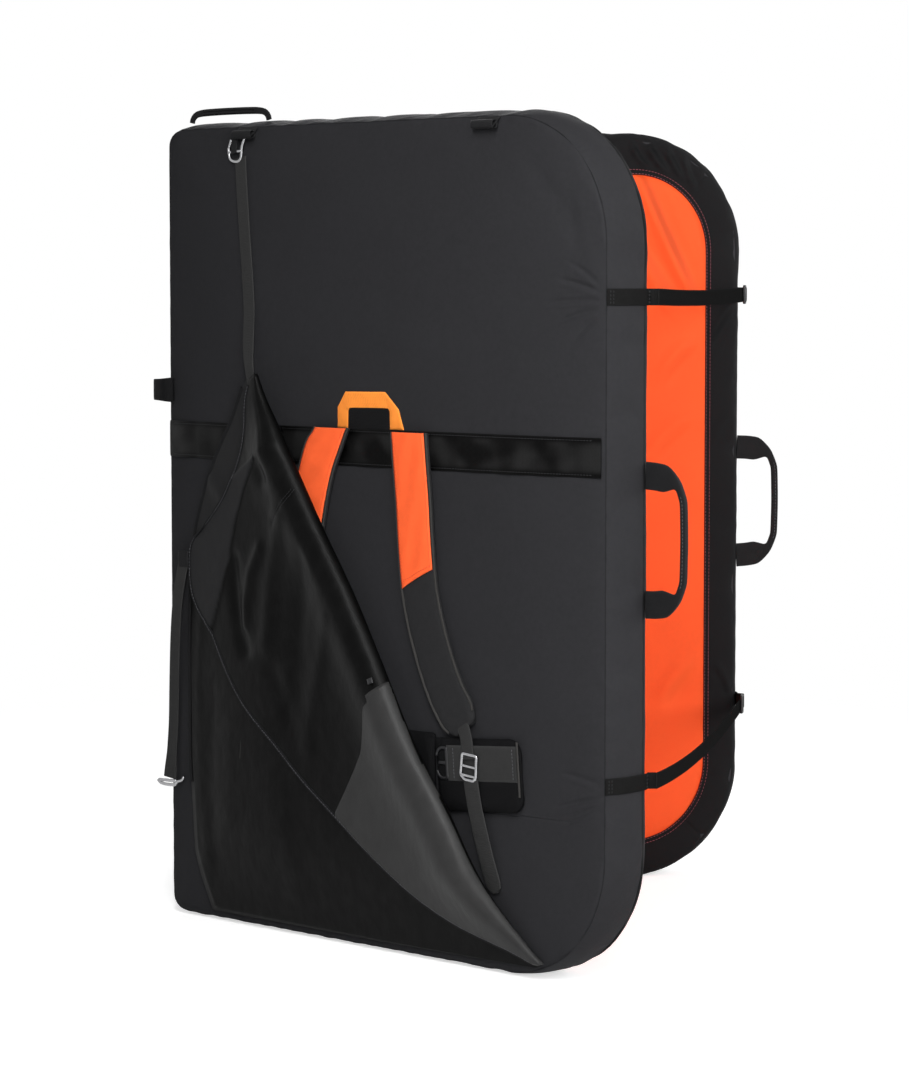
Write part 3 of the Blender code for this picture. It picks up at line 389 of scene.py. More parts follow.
# %% Sizes of a half
PAD_WIDTH, PAD_HEIGHT, HALF_DEPTH = 0.800, 1.094, 0.040
CORNER_RADIUS, SPINE_RADIUS, LEAST_RADIUS = 0.165, 0.030, 0.004
HARNESS_CROWN, LANDING_CROWN, CROWN_LENGTH = 0.012, 0.005, 0.160
SIDE_BULGE, BASE_BULGE = 0.009, 0.005
SPINE_X, EDGE_X = -PAD_WIDTH / 2, PAD_WIDTH / 2
LOW_SEAM = 0.00405
HIGH_SEAM = LOW_SEAM + PAD_HEIGHT
MIDDLE_Z = (LOW_SEAM + HIGH_SEAM) / 2
LANDING_Y = HALF_DEPTH + 0.0023
UP, OUTWARD, ACROSS = Vector((0, 0, 1)), Vector((0, -1, 0)), Vector((1, 0, 0))


def joint_place(name):
    return Vector(next(joint for joint in frame["joints"] if joint["name"] == name)["pos_m"])


FOLD_PLACE = joint_place("fold")
OPEN_ANGLE = math.radians(61.0)
TO_REAR = (Matrix.Translation(FOLD_PLACE) @ Matrix.Rotation(OPEN_ANGLE, 4, "Z")
           @ Matrix.Diagonal((1, -1, 1, 1)) @ Matrix.Translation(-FOLD_PLACE))
print("the halves fold about", FOLD_PLACE)


# %% Places on a half
def crown(inset, height):
    """A face's rise at a distance in from its seam: quick at the edge, level in the middle."""
    return height * (1 - (1 - np.clip(inset / CROWN_LENGTH, 0, 1)) ** 2)


def inset_of(x, z):
    """How far in from the seam a place on a face is."""
    inset = np.minimum(np.minimum(x - SPINE_X, EDGE_X - x), np.minimum(z - LOW_SEAM, HIGH_SEAM - z))
    corner_x = x - (EDGE_X - CORNER_RADIUS)
    corner_z = np.abs(z - MIDDLE_Z) - (PAD_HEIGHT / 2 - CORNER_RADIUS)
    round_inset = CORNER_RADIUS - np.hypot(corner_x, corner_z)
    return np.maximum(np.where((corner_x > 0) & (corner_z > 0), round_inset, inset), 0)


def at(width_share, height_share):
    """The x and z of a place given as shares of a half's width and height."""
    return SPINE_X + PAD_WIDTH * width_share, LOW_SEAM + PAD_HEIGHT * height_share


def at_all(shares):
    """Places given as shares, as points that hold x, z and 0."""
    return [Vector((*at(*share), 0)) for share in shares]


def face_y(x, z):
    """The depth of the harness face at a place, or at arrays of places."""
    return -HALF_DEPTH - crown(inset_of(x, z), HARNESS_CROWN)


# %% [markdown]
# Every piece is a mesh of its own, and most pieces ride one body of the working model stiffly. The right
# wing of the hip belt is soft and reaches under the flap, so its pieces ride no body and stay where they
# are made. One function does for each piece what all of them need.

# %% Adding a piece
BENDS = {"right_wing": ("front_half", 0.158, 0.215)}


def new_object(name, points, faces):
    """A mesh of points and faces, as an object in the scene."""
    mesh = bpy.data.meshes.new(name)
    mesh.from_pydata([tuple(p) for p in points], [], faces)
    made = bpy.data.objects.new(name, mesh)
    bpy.context.scene.collection.objects.link(made)
    return made


def add_piece(name, points, faces, finish, body, replaced=(), measures=None, half="front"):
    """A mesh in the row frame, with its finish, its body and the CAD nodes that it stands for."""
    if half == "rear":
        points = [TO_REAR @ Vector(p) for p in points]
        faces = [tuple(reversed(face)) for face in faces]
    piece = new_object(name, points, faces)
    for key, values in (measures or {}).items():
        measure = piece.data.attributes.new(key, "FLOAT", "POINT")
        measure.data.foreach_set("value", np.asarray(values, np.float32))
    piece.data.shade_smooth()
    piece.data.materials.append(FINISHES[finish])
    if body in BENDS:
        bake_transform(piece)
    else:
        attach(piece, body)
    if replaced:
        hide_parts(*replaced)
    return piece


def soften(piece):
    """Adds a subdivision."""
    smooth = piece.modifiers.new("Smooth", "SUBSURF")
    smooth.levels = smooth.render_levels = 1


def thicken(piece, thickness):
    """Makes a sheet of faces as thick as its cloth."""
    thick = piece.modifiers.new("Thickness", "SOLIDIFY")
    thick.thickness, thick.offset = thickness, 0


# %% [markdown]
# ## The padded slabs
#
# The cover of a half is a tray of cloth round the foam, closed on the landing side by a black border with
# an orange panel set in. A box with rounded edges would look like plastic. Cloth over foam is pinned at its
# seams and swells between them. So one mesh of all the panels is pinned along the seams and inflated by a
# cloth simulation, and afterwards it is split into its cloths.
#
# The mesh is a grid on each face. Its square corners are bent round by a formula that turns a square into a
# quarter disc, which keeps all the faces four-sided.

# %% Grids with round corners
SLAB_STEP = 0.0108
SEAM_ROWS = (0.0, 0.0017, 0.0045, 0.0105)


def spaced(length, step):
    """Places along a side, closer together beside the seams at its ends."""
    inner = SEAM_ROWS[-1]
    middle = np.linspace(inner, length - inner, round((length - 2 * inner) / step) + 1)
    rows = np.array(SEAM_ROWS[:-1])
    return np.concatenate([rows, middle, length - rows[::-1]])


def rounded(x, z, inset):
    """Moves the places of a plain rectangle so that its corners are round."""
    x, z = x.copy(), z.copy()
    for side, full in ((1, CORNER_RADIUS), (-1, SPINE_RADIUS)):
        radius = max(full - inset, LEAST_RADIUS)
        centre_x = side * (PAD_WIDTH / 2 - inset - radius)
        for level in (1, -1):
            centre_z = MIDDLE_Z + level * (PAD_HEIGHT / 2 - inset - radius)
            a, b = side * (x - centre_x) / radius, level * (z - centre_z) / radius
            near = (a > 0) & (b > 0)
            a, b = a[near], b[near]
            x[near] = centre_x + side * radius * a * np.sqrt(1 - b ** 2 / 2)
            z[near] = centre_z + level * radius * b * np.sqrt(1 - a ** 2 / 2)
    return x, z


def face_grid(inset):
    """The places of a face's grid, in rows from the bottom, at an inset from the seam."""
    across, up = spaced(PAD_WIDTH, SLAB_STEP) / PAD_WIDTH, spaced(PAD_HEIGHT, SLAB_STEP) / PAD_HEIGHT
    x, z = np.meshgrid(SPINE_X + inset + (PAD_WIDTH - 2 * inset) * across,
                       LOW_SEAM + inset + (PAD_HEIGHT - 2 * inset) * up)
    return rounded(x, z, inset)


def rim(grid):
    """The outer places of a grid, round once from the bottom left."""
    return np.concatenate([grid[0, :-1], grid[:-1, -1], grid[-1, :0:-1], grid[:0:-1, 0]])


# %% One mesh of all the panels
BORDER = 0.052
SEAM_RIDGE, RIDGE_PLACE, RIDGE_SPREAD = 0.0012, 0.0035, 0.0025
SEAM_DRAW, DRAW_SPREAD = 0.0014, 0.0012
WALL_STEP, BACK_SEAM = 0.0115, 0.065
BACK_SWELL, BACK_SWELL_PLACE, BACK_SWELL_SPREAD = 0.0035, 0.071, 0.014
SLACK = 0.0015


def seam_relief(distance):
    """How far cloth stands out beside a seam: drawn in at the seam, with a low ridge next to it."""
    ridge = SEAM_RIDGE * np.exp(-((distance - RIDGE_PLACE) / RIDGE_SPREAD) ** 2)
    return ridge - SEAM_DRAW * np.exp(-(distance / DRAW_SPREAD) ** 2)


def back_swell(depth):
    """How far a wall stands out beside its back seam, at a depth from the harness face."""
    return BACK_SWELL * math.exp(-((depth - BACK_SWELL_PLACE) / BACK_SWELL_SPREAD) ** 2)


def wall_normals(x, z):
    """Outward directions along a closed line of places."""
    dx, dz = np.roll(x, -1) - np.roll(x, 1), np.roll(z, -1) - np.roll(z, 1)
    length = np.hypot(dx, dz)
    return dz / length, -dx / length


def slab_rings():
    """The rings between the harness face's rim and the landing panel's rim, as x, y, z and kind of cloth."""
    rings = []
    x, z = (rim(g) for g in face_grid(0))
    nx, nz = wall_normals(x, z)
    side = np.where(nx >= -0.01, SIDE_BULGE, 0)
    bulge = side + (np.where(nz < 0, BASE_BULGE, SIDE_BULGE) - side) * nz ** 2
    wall = spaced(BACK_SEAM, WALL_STEP)[1:]
    behind = BACK_SEAM + np.array([*SEAM_ROWS[1:3], 0.0090, 2 * HALF_DEPTH - BACK_SEAM])
    for depth in (*wall, *behind):
        share = depth / HALF_DEPTH - 1
        beside = min(depth, abs(BACK_SEAM - depth))
        swell = bulge * (1 - share ** 2) + seam_relief(beside)
        swell = swell + np.where(bulge > 0, back_swell(depth), 0)
        kind = "wall" if depth <= BACK_SEAM + 1e-6 else "border"
        y = np.full_like(x, depth - HALF_DEPTH)
        rings.append((x + nx * swell, y, np.maximum(z + nz * swell, 0), kind))
    for inset in (*SEAM_ROWS[1:], 0.024, 0.038, BORDER - 0.004, BORDER):
        x, z = (rim(g) for g in face_grid(inset))
        y = LANDING_Y + crown(inset, LANDING_CROWN) - 0.0023 * math.exp(-inset / 0.006)
        rings.append((x, np.full_like(x, y), z, "border"))
    return rings


def quads(index):
    """The faces between neighbouring places of a grid of point numbers."""
    a, b, c, d = index[:-1, :-1], index[:-1, 1:], index[1:, 1:], index[1:, :-1]
    return np.stack([a, b, c, d], -1).reshape(-1, 4)


def numbered(rows, columns):
    """The numbers of a grid's points, row by row."""
    return np.arange(rows * columns).reshape(rows, columns)


def as_tuples(faces):
    return [tuple(face) for face in faces.tolist()]


def slab():
    """Points, faces, the kind of each face, and which points the seams pin."""
    x, z = face_grid(0)
    inset = inset_of(x, z)
    y = -HALF_DEPTH - crown(inset, HARNESS_CROWN) - seam_relief(inset)
    rows, columns = x.shape
    points = [np.stack([x, y, z], -1).reshape(-1, 3)]
    index = numbered(rows, columns)
    faces, kinds = [quads(index)], ["face"] * (rows - 1) * (columns - 1)
    last, total = rim(index), rows * columns
    pinned = [rim(index)]
    for rx, ry, rz, kind in slab_rings():
        points.append(np.stack([rx, ry, rz], -1))
        ring = np.arange(total, total + len(rx))
        faces.append(quads(np.stack([np.append(ring, ring[0]), np.append(last, last[0])])))
        kinds += [kind] * len(rx)
        total, last = total + len(rx), ring
        if abs(ry[0] + HALF_DEPTH - BACK_SEAM) < 1e-6:
            pinned.append(ring)
    pinned.append(last)
    px, pz = face_grid(BORDER)
    py = LANDING_Y + crown(inset_of(px, pz), LANDING_CROWN)
    inner = np.zeros((rows, columns), int)
    inner[1:-1, 1:-1] = total + numbered(rows - 2, columns - 2)
    for place, number in zip(rim(index), last):
        inner[place // columns, place % columns] = number
    points.append(np.stack([px, py, pz], -1)[1:-1, 1:-1].reshape(-1, 3))
    faces.append(quads(inner)[:, ::-1])
    kinds += ["panel"] * (rows - 1) * (columns - 1)
    return np.concatenate(points), np.concatenate(faces), np.array(kinds), np.concatenate(pinned)


slab_points, slab_faces, slab_kinds, slab_pins = slab()
print("slab:", len(slab_points), "points,", len(slab_faces), "faces")

# %% [markdown]
# ### Inflating the covers
#
# Blender's cloth takes a pressure, as in a cushion. The cloth is also made a little larger than its shape,
# so that it has to buckle beside the pinned seams, as a sewn cover does. How far a point may move is
# capped, because the foam stops the cloth below and the straps lie on it above.

# %% Cloth under pressure
PRESSURE, CLOTH_FRAMES = 4.0, 20


def inflate(points, faces, pinned, cap, growth=0.012):
    """Where the points of a pinned cloth end up under pressure, none of them further than the cap."""
    cloth = new_object("inflated", points.tolist(), faces.tolist())
    cloth.vertex_groups.new(name="pins").add(pinned.tolist(), 1.0, "ADD")
    settings = cloth.modifiers.new("Cloth", "CLOTH").settings
    settings.quality = 5
    settings.mass = 0.2
    settings.bending_stiffness = 0.3
    settings.vertex_group_mass = "pins"
    settings.use_pressure = True
    settings.uniform_pressure_force = PRESSURE
    settings.shrink_min = -growth
    settings.effector_weights.gravity = 0
    for step in range(1, CLOTH_FRAMES + 1):
        bpy.context.scene.frame_set(step)
    shape = cloth.evaluated_get(bpy.context.evaluated_depsgraph_get()).data
    moved = np.array([v.co for v in shape.vertices], float)
    bpy.context.scene.frame_set(1)
    mesh = cloth.data
    bpy.data.objects.remove(cloth)
    bpy.data.meshes.remove(mesh)
    shift = moved - points
    length = np.linalg.norm(shift, axis=1, keepdims=True)
    return points + shift * (cap * np.tanh(length / cap) / np.maximum(length, 1e-9))


def point_normals(points, faces):
    """The outward direction at each point, from the faces round it."""
    a, b, c, d = (points[faces[:, k]] for k in range(4))
    face_normals = np.cross(c - a, d - b)
    normals = np.zeros_like(points)
    for k in range(4):
        np.add.at(normals, faces[:, k], face_normals)
    return normals / np.maximum(np.linalg.norm(normals, axis=1, keepdims=True), 1e-12)


FLOOR_TOUCH = 0.0005
COVER_CAP = 0.004

slab_normals = point_normals(slab_points, slab_faces)
free = np.ones(len(slab_points))
free[slab_pins] = 0
resting = slab_points[:, 2] < FLOOR_TOUCH
slab_start = slab_points - slab_normals * (SLACK * free * ~resting)[:, None]
slab_shape = slab_points.copy()
held = np.unique(np.concatenate([slab_pins, np.flatnonzero(resting)]))
slab_shape = inflate(slab_start, slab_faces, held, COVER_CAP)
print("cover moved by up to", round(1000 * float(np.abs(slab_shape - slab_start).max()), 1), "mm")

# %% [markdown]
# ### Folds pressed in one by one
#
# Some folds have a cause that the simulation doesn't know. The closure straps pull on the seam, so creases
# fan out from their ends. The landing cloth is slack, so it falls in long diagonal folds. Each is a short
# line with a width and a depth: a groove with a low ridge along each side. Wide ones are pressed into the
# mesh. Narrow ones would need a far finer mesh, so the cloth's material raises them instead.

# %% Grooves
def grooved(points, lines):
    """How far each point sinks for a list of (start, end, width, depth), with starts and ends as x and z."""
    flat = points[:, [0, 2]]
    sink = np.zeros(len(points))
    for start, end, width, depth in lines:
        a, b = np.array(start), np.array(end)
        along = np.clip((flat - a) @ (b - a) / ((b - a) @ (b - a)), 0, 1)
        distance = np.linalg.norm(flat - (a + along[:, None] * (b - a)), axis=1) / width
        fade = np.sin(np.pi * (0.18 + 0.64 * along)) ** 0.5
        sink += depth * fade * (1 - 0.9 * distance ** 2) * np.exp(-distance ** 2)
    return sink


def on_half(*lines):
    """Grooves given as distances from the spine edge and heights, in metres."""
    return [((SPINE_X + u0, z0), (SPINE_X + u1, z1), width, depth) for u0, z0, u1, z1, width, depth in lines]


STRAP_PUCKERS = on_half(
    (0.796, 0.874, 0.724, 0.892, 0.0040, 0.0026), (0.797, 0.866, 0.708, 0.860, 0.0036, 0.0022),
    (0.796, 0.856, 0.722, 0.834, 0.0040, 0.0022), (0.792, 0.884, 0.742, 0.914, 0.0040, 0.0018),
    (0.790, 0.846, 0.752, 0.812, 0.0040, 0.0014), (0.797, 0.262, 0.735, 0.272, 0.0040, 0.0016),
    (0.797, 0.246, 0.722, 0.224, 0.0040, 0.0024), (0.794, 0.236, 0.738, 0.203, 0.0040, 0.0018))
FACE_SEAM = on_half((0.300, 0.211, 0.799, 0.212, 0.0014, 0.0012))
CORNER_SOFTNESS = on_half(
    (0.680, 1.040, 0.752, 0.960, 0.0160, 0.0016), (0.740, 1.020, 0.770, 0.900, 0.0120, 0.0012))
FRONT_FOLDS = {
    "face": STRAP_PUCKERS + FACE_SEAM + CORNER_SOFTNESS,
    "wall": [],
    "border": on_half(
        (0.650, 1.090, 0.690, 1.050, 0.0055, -0.0028), (0.560, 1.094, 0.580, 1.056, 0.0055, -0.0022)),
    "panel": on_half(
        (0.520, 1.020, 0.660, 0.760, 0.0130, -0.0040), (0.240, 0.900, 0.380, 0.520, 0.0240, -0.0034),
        (0.700, 0.480, 0.560, 0.260, 0.0140, -0.0034)),
}
REAR_FOLDS = {
    "face": on_half(
        (0.620, 0.900, 0.500, 0.700, 0.0240, 0.0020), (0.300, 0.500, 0.420, 0.300, 0.0240, 0.0020)),
    "wall": [],
    "border": on_half(
        (0.628, 1.094, 0.656, 1.054, 0.0062, -0.0060), (0.655, 1.093, 0.688, 1.046, 0.0066, -0.0064),
        (0.684, 1.088, 0.714, 1.036, 0.0062, -0.0058), (0.712, 1.074, 0.733, 1.020, 0.0060, -0.0046),
        (0.798, 0.862, 0.752, 0.796, 0.0090, -0.0070), (0.796, 0.700, 0.758, 0.640, 0.0080, -0.0018),
        (0.796, 0.268, 0.762, 0.322, 0.0070, -0.0024), (0.600, 1.092, 0.618, 1.060, 0.0048, -0.0024)),
    "panel": on_half(
        (0.620, 1.085, 0.744, 0.836, 0.0115, -0.0105), (0.606, 0.990, 0.724, 0.822, 0.0105, -0.0070),
        (0.640, 0.920, 0.706, 0.826, 0.0090, -0.0046), (0.736, 0.810, 0.664, 0.730, 0.0140, -0.0060),
        (0.732, 0.700, 0.640, 0.610, 0.0148, -0.0056), (0.734, 0.330, 0.670, 0.250, 0.0148, -0.0056),
        (0.480, 1.030, 0.620, 0.740, 0.0140, -0.0040), (0.280, 0.980, 0.420, 0.600, 0.0240, -0.0036)),
}


# %% Cutting the slab into its cloths
PIECE_OF = {"face": "cover", "wall": "cover", "border": "border", "panel": "panel"}
REPLACED = {"cover": "cover", "border": "landing_border", "panel": "landing_panel"}
SLAB_FINISH = {"cover": "cover_black", "border": "border_black", "panel": "panel_orange"}
WIDEST_CREASE = 0.015
DEEPEST_DENT, HIGHEST_SWELL = 0.0024, 0.0010
seam_rings = np.zeros(len(slab_points))
seam_rings[slab_pins] = 1


def dress_slab(half, folds):
    """The cover, the border and the panel of one half."""
    shape = slab_shape.copy()
    owner = np.full(len(shape), "panel", dtype=object)
    for kind in ("border", "wall", "face"):
        owner[np.unique(slab_faces[slab_kinds == kind])] = kind
    sink = np.zeros(len(shape))
    for kind, lines in folds.items():
        wide = [line for line in lines if line[2] > WIDEST_CREASE]
        sink = np.where(owner == kind, grooved(shape, wide), sink)
    rise = np.einsum("ij,ij->i", shape - slab_points, slab_normals)
    shape -= slab_normals * (rise - np.clip(rise, -DEEPEST_DENT, HIGHEST_SWELL))[:, None]
    shape -= slab_normals * (sink * (free > 0))[:, None]
    shape[:, 2] = np.maximum(shape[:, 2], 0)
    for part in ("cover", "border", "panel"):
        chosen = slab_faces[np.isin(slab_kinds, [k for k, v in PIECE_OF.items() if v == part])]
        used, numbers = np.unique(chosen, return_inverse=True)
        slot, face = SLAB_FINISH[part], {"cover": "face"}.get(part, part)
        narrow = [(a, b, width, -depth) for a, b, width, depth in folds[face] if width <= WIDEST_CREASE]
        finish = f"{slot}_{half}"
        FINISHES[finish] = woven(finish, *CLOTHS[slot], folds=narrow)
        SLOTS[finish] = slot
        # The seam measure darkens the cloth along its seams, partly for the thread and partly as painted shade.
        measures = {"seam": seam_rings[used], "plan_x": slab_points[used, 0], "plan_z": slab_points[used, 2],
                    "creased": (owner[used] == face) | (seam_rings[used] > 0) & (slab_points[used, 1] < 0)}
        piece = add_piece(f"{half}_{part}_cloth", shape[used], as_tuples(numbers.reshape(-1, 4)), finish,
                          f"{half}_half", [f"{half}_{REPLACED[part]}"], measures, half)
        soften(piece)
        print(piece.name, len(piece.data.polygons), "faces")


dress_slab("front", FRONT_FOLDS)
dress_slab("rear", REAR_FOLDS)


# %% [markdown]
# ## Stitching
#
# Stitches are what tells a sewn thing from a moulded one. A dashed line could be painted, but in raking
# light each stitch is a small raised bead, so each one is a little spindle of four sides. A row of hundreds
# stays cheap that way.

# %% Rows of stitches
STITCH_PITCH, STITCH_LENGTH, STITCH_RADIUS = 0.0046, 0.0034, 0.00045


def resample(points, step, closed=False):
    """Points at equal steps along a line."""
    line = np.array([tuple(p) for p in points], float)
    if closed:
        line = np.vstack([line, line[:1]])
    runs = np.linalg.norm(np.diff(line, axis=0), axis=1)
    marks = np.concatenate([[0], np.cumsum(runs)])
    count = max(int(round(marks[-1] / step)), 1)
    places = np.linspace(0, marks[-1], count + 1)
    return np.stack([np.interp(places, marks, line[:, k]) for k in range(3)], -1)


def smooth(points, step):
    """A smooth curve through a few points, as points at equal steps."""
    points = [Vector(p) for p in points]
    ends = [2 * points[0] - points[1], *points, 2 * points[-1] - points[-2]]
    fine = []
    for a, b, c, d in zip(ends, ends[1:], ends[2:], ends[3:]):
        for k in range(12):
            t = k / 12
            fine.append((2 * b + (c - a) * t + (2 * a - 5 * b + 4 * c - d) * t * t
                         + (3 * b - a - 3 * c + d) * t ** 3) / 2)
    return resample(fine + [points[-1]], step)


def stitches(name, lines, finish, body, outward=OUTWARD, half="front", pitch=STITCH_PITCH, closed=False):
    """Rows of stitches along lines on a surface that faces outward."""
    points, faces = [], []
    reach = STITCH_LENGTH / 2 * pitch / STITCH_PITCH
    for line in lines:
        places = resample(line, pitch, closed)
        for a, b in zip(places, places[1:]):
            a, b = Vector(a), Vector(b)
            along = (b - a).normalized()
            across = along.cross(outward).normalized()
            lift = across.cross(along).normalized()
            middle, first = (a + b) / 2, len(points)
            points.append(middle - along * reach)
            for share in (-0.6, 0.6):
                for side, rise in ((1, 0), (0, 1), (-1, 0), (0, -0.3)):
                    points.append(middle + along * reach * share
                                  + across * STITCH_RADIUS * side + lift * STITCH_RADIUS * rise)
            points.append(middle + along * reach)
            for k in range(4):
                n = (k + 1) % 4
                faces += [(first, first + 1 + n, first + 1 + k),
                          (first + 1 + k, first + 1 + n, first + 5 + n, first + 5 + k),
                          (first + 5 + k, first + 5 + n, first + 9)]
    return add_piece(name, points, faces, finish, body, half=half)


# %% [markdown]
# The orange panel is set into the border with a narrow folded tape, and a row of contrasting thread runs
# along the tape's outer edge. The tape follows the rounded outline at a fixed distance from the seam.

# %% Straps, tapes and tubes
def ease(value):
    """Rises smoothly from 0 at 0 to 1 at 1, and stays level beyond."""
    t = np.clip(value, 0, 1)
    return t * t * (3 - 2 * t)


def steps_along(path, closed=False):
    """From the point before to the point after, for each point of a path."""
    path = [Vector(p) for p in path]
    before, after = (path[-1], path[0]) if closed else (path[0], path[-1])
    return [b - a for a, b in zip([before, *path], [*path[1:], after])]


def ring_faces(count, corners, closed=False):
    """The faces between rings of points in a row. Both ends are capped unless the last meets the first."""
    faces = []
    for i in range(count if closed else count - 1):
        low, high = i * corners, (i + 1) % count * corners
        for k in range(corners):
            n = (k + 1) % corners
            faces.append((low + k, low + n, high + n, high + k))
    if not closed:
        faces += [tuple(range(corners))[::-1], tuple(range((count - 1) * corners, count * corners))]
    return faces


def sweep(path, across, width, thickness, corners=16, power=0.35, closed=False, keep_across=False):
    """Points, faces and measures of a strap that is carried along a path with a rounded section."""
    path = [Vector(p) for p in path]
    count = len(path)
    across = list(across) if isinstance(across, (list, np.ndarray)) else [across] * count
    width = np.broadcast_to(width, count)
    thickness = np.broadcast_to(thickness, count)
    turns = [2 * math.pi * k / corners for k in range(corners)]
    section = [(math.copysign(abs(math.cos(t)) ** power, math.cos(t)) / 2,
                math.copysign(abs(math.sin(t)) ** min(2 * power, 1), math.sin(t)) / 2) for t in turns]
    points, along_at, across_at, edge_at = [], [], [], []
    length = 0.0
    for i, (point, step) in enumerate(zip(path, steps_along(path, closed))):
        along = step.normalized()
        side = Vector(across[i])
        if not keep_across:
            side = (side - along * side.dot(along)).normalized()
        normal = side.cross(along)
        if i:
            length += (point - path[i - 1]).length
        for a, b in section:
            points.append(point + side * (a * width[i]) + normal * (b * thickness[i]))
            along_at.append(length)
            across_at.append(a * width[i])
            edge_at.append(abs(a) * 2)
    measures = {"along": along_at, "across": across_at, "edge": edge_at}
    return points, ring_faces(count, corners, closed), measures


def add_strap(name, path, across, width, thickness, finish, body, replaced=(), half="front", **shape):
    """A strap as a piece, with its flat ends kept sharp."""
    points, faces, measures = sweep(path, across, width, thickness, **shape)
    piece = add_piece(name, points, faces, finish, body, replaced, measures, half)
    piece.data.set_sharp_from_angle(angle=math.radians(75))
    return piece


def joined(parts):
    """Several bodies of points and faces as one."""
    points, faces = [], []
    for some_points, some_faces in parts:
        faces += [tuple(i + len(points) for i in face) for face in some_faces]
        points += list(some_points)
    return points, faces


# %% Tape and thread round each landing panel
TAPE_WIDTH = 0.0050
STITCH_ROWS = (0.0010, 0.0068)
PANEL_STITCH_PITCH = 0.0050


def outline_at(inset, y, step=0.008):
    x, z = (rim(g) for g in face_grid(inset))
    return resample(np.stack([x, np.full_like(x, y), z], -1), step, closed=True)[:-1]


for half in ("front", "rear"):
    body = f"{half}_half"
    inset = BORDER - TAPE_WIDTH / 2 + 0.0006
    y = LANDING_Y + float(crown(inset, LANDING_CROWN)) + 0.0004
    line = outline_at(inset, y)
    side = [Vector((nx, 0, nz)) for nx, nz in zip(*wall_normals(line[:, 0], line[:, 2]))]
    add_strap(f"{half}_panel_tape", line, side, TAPE_WIDTH, 0.0016, "border_black", body, half=half,
              corners=10, closed=True)
    rows = [outline_at(BORDER - out, y + 0.0009) for out in STITCH_ROWS]
    stitches(f"{half}_panel_stitches", rows, "thread_pink", body, -OUTWARD, half, PANEL_STITCH_PITCH,
             closed=True)
print("panel tapes and stitches")

# %% [markdown]
# ## The spine: hinge cloth and zips
#
# The two covers are joined by a strip of cloth along the whole spine. It has to stay whole while the mat
# folds, so it is one sheet that bends between the two halves. On each spine wall a zip lets the foam out.
# Its teeth are real here, because a zip that is only a stripe looks like tape.

# %% Hinge cloth
LEAF_REACH, RIPPLE = 0.020, 0.0006
leaf_low, leaf_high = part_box("front_hinge_leaf")


def hinge_cloth():
    """A strip from one landing border round the fold line to the other."""
    start = Vector((SPINE_X + LEAF_REACH, LANDING_Y + float(crown(LEAF_REACH, LANDING_CROWN)) + 0.0012, 0))
    bend = Vector((SPINE_X - 0.001, LANDING_Y + 0.0012, 0))
    middle = Vector((FOLD_PLACE.x, FOLD_PLACE.y, 0))
    front = [start, (start + bend) / 2, bend, (bend + middle) / 2 + Vector((-0.001, 0.0004, 0))]
    line = smooth([*front, middle, *(TO_REAR @ p for p in reversed(front))], 0.0035)
    heights = np.linspace(leaf_low.z, leaf_high.z, 90)
    points = []
    for z in heights:
        wave = RIPPLE * math.sin(z * 70 + 1.3 * math.sin(z * 23))
        for k, p in enumerate(line):
            ripple = wave * math.sin(math.pi * k / (len(line) - 1))
            points.append(Vector((p[0] - ripple, p[1] + ripple * 0.5, z)))
    cloth = new_object("hinge_cloth", points, as_tuples(quads(numbered(len(heights), len(line)))))
    cloth.data.shade_smooth()
    cloth.data.materials.append(FINISHES["border_black"])
    thicken(cloth, 0.0009)
    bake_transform(cloth)
    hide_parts("front_hinge_leaf", "rear_hinge_leaf")


hinge_cloth()


# %% Zips
TOOTH_PITCH, TOOTH_SIZE = 0.0016, (0.0012, 0.0030, 0.0011)


def boxes(places, size):
    """Small chamfered blocks, as points and faces. Size is along x, y and z."""
    corners = ((-1, -0.6), (-0.6, -1), (0.6, -1), (1, -0.6), (1, 0.6), (0.6, 1), (-0.6, 1), (-1, 0.6))
    block = [Vector((size[0] * a, size[1] * b, size[2] * level)) / 2 for level in (-1, 1) for a, b in corners]
    return joined([([Vector(place) + p for p in block], ring_faces(2, 8)) for place in places])


def zip_pieces(half):
    """The tape, the teeth, two rows of stitches and the slider with its pull."""
    body = f"{half}_half"
    low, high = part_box("front_zip_tape")
    x = (low.x + high.x) / 2
    path = [Vector((x, 0, z)) for z in (*np.arange(low.z, high.z, 0.01), high.z)]
    add_strap(f"{half}_zip_cloth", path, OUTWARD, high.y - low.y, 0.001, "web_band", body,
              [f"{half}_zip_tape"], half, corners=12)
    heights = np.arange(low.z + 0.012, high.z - 0.012, TOOTH_PITCH)
    places = [(x - 0.0008, 0.0009 if k % 2 else -0.0009, z) for k, z in enumerate(heights)]
    add_piece(f"{half}_zip_teeth", *boxes(places, TOOTH_SIZE), "plastic_black", body, half=half)
    rows = [[(x - 0.0006, side * 0.0105, z) for z in (low.z + 0.004, high.z - 0.004)] for side in (-1, 1)]
    stitches(f"{half}_zip_stitches", rows, "thread_grey", body, -ACROSS, half)
    low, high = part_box("front_zip_slider")
    tall = high.z - low.z
    block = boxes([((low.x + high.x) / 2, 0, low.z + tall * 0.30)], (0.0026, 0.0100, tall * 0.42))
    path = [Vector((low.x + 0.0002, 0, low.z + tall * s)) for s in (0.02, 0.25, 0.5, 0.75, 1.0)]
    pull = sweep(path, OUTWARD, [0.007, 0.0066, 0.0060, 0.0066, 0.0046], 0.0012, 12, 0.5)
    add_piece(f"{half}_zip_pull", *joined([block, pull[:2]]), "metal", f"{half}_zip",
              [f"{half}_zip_slider"], half=half)


for half in ("front", "rear"):
    zip_pieces(half)
print("hinge cloth and zips")
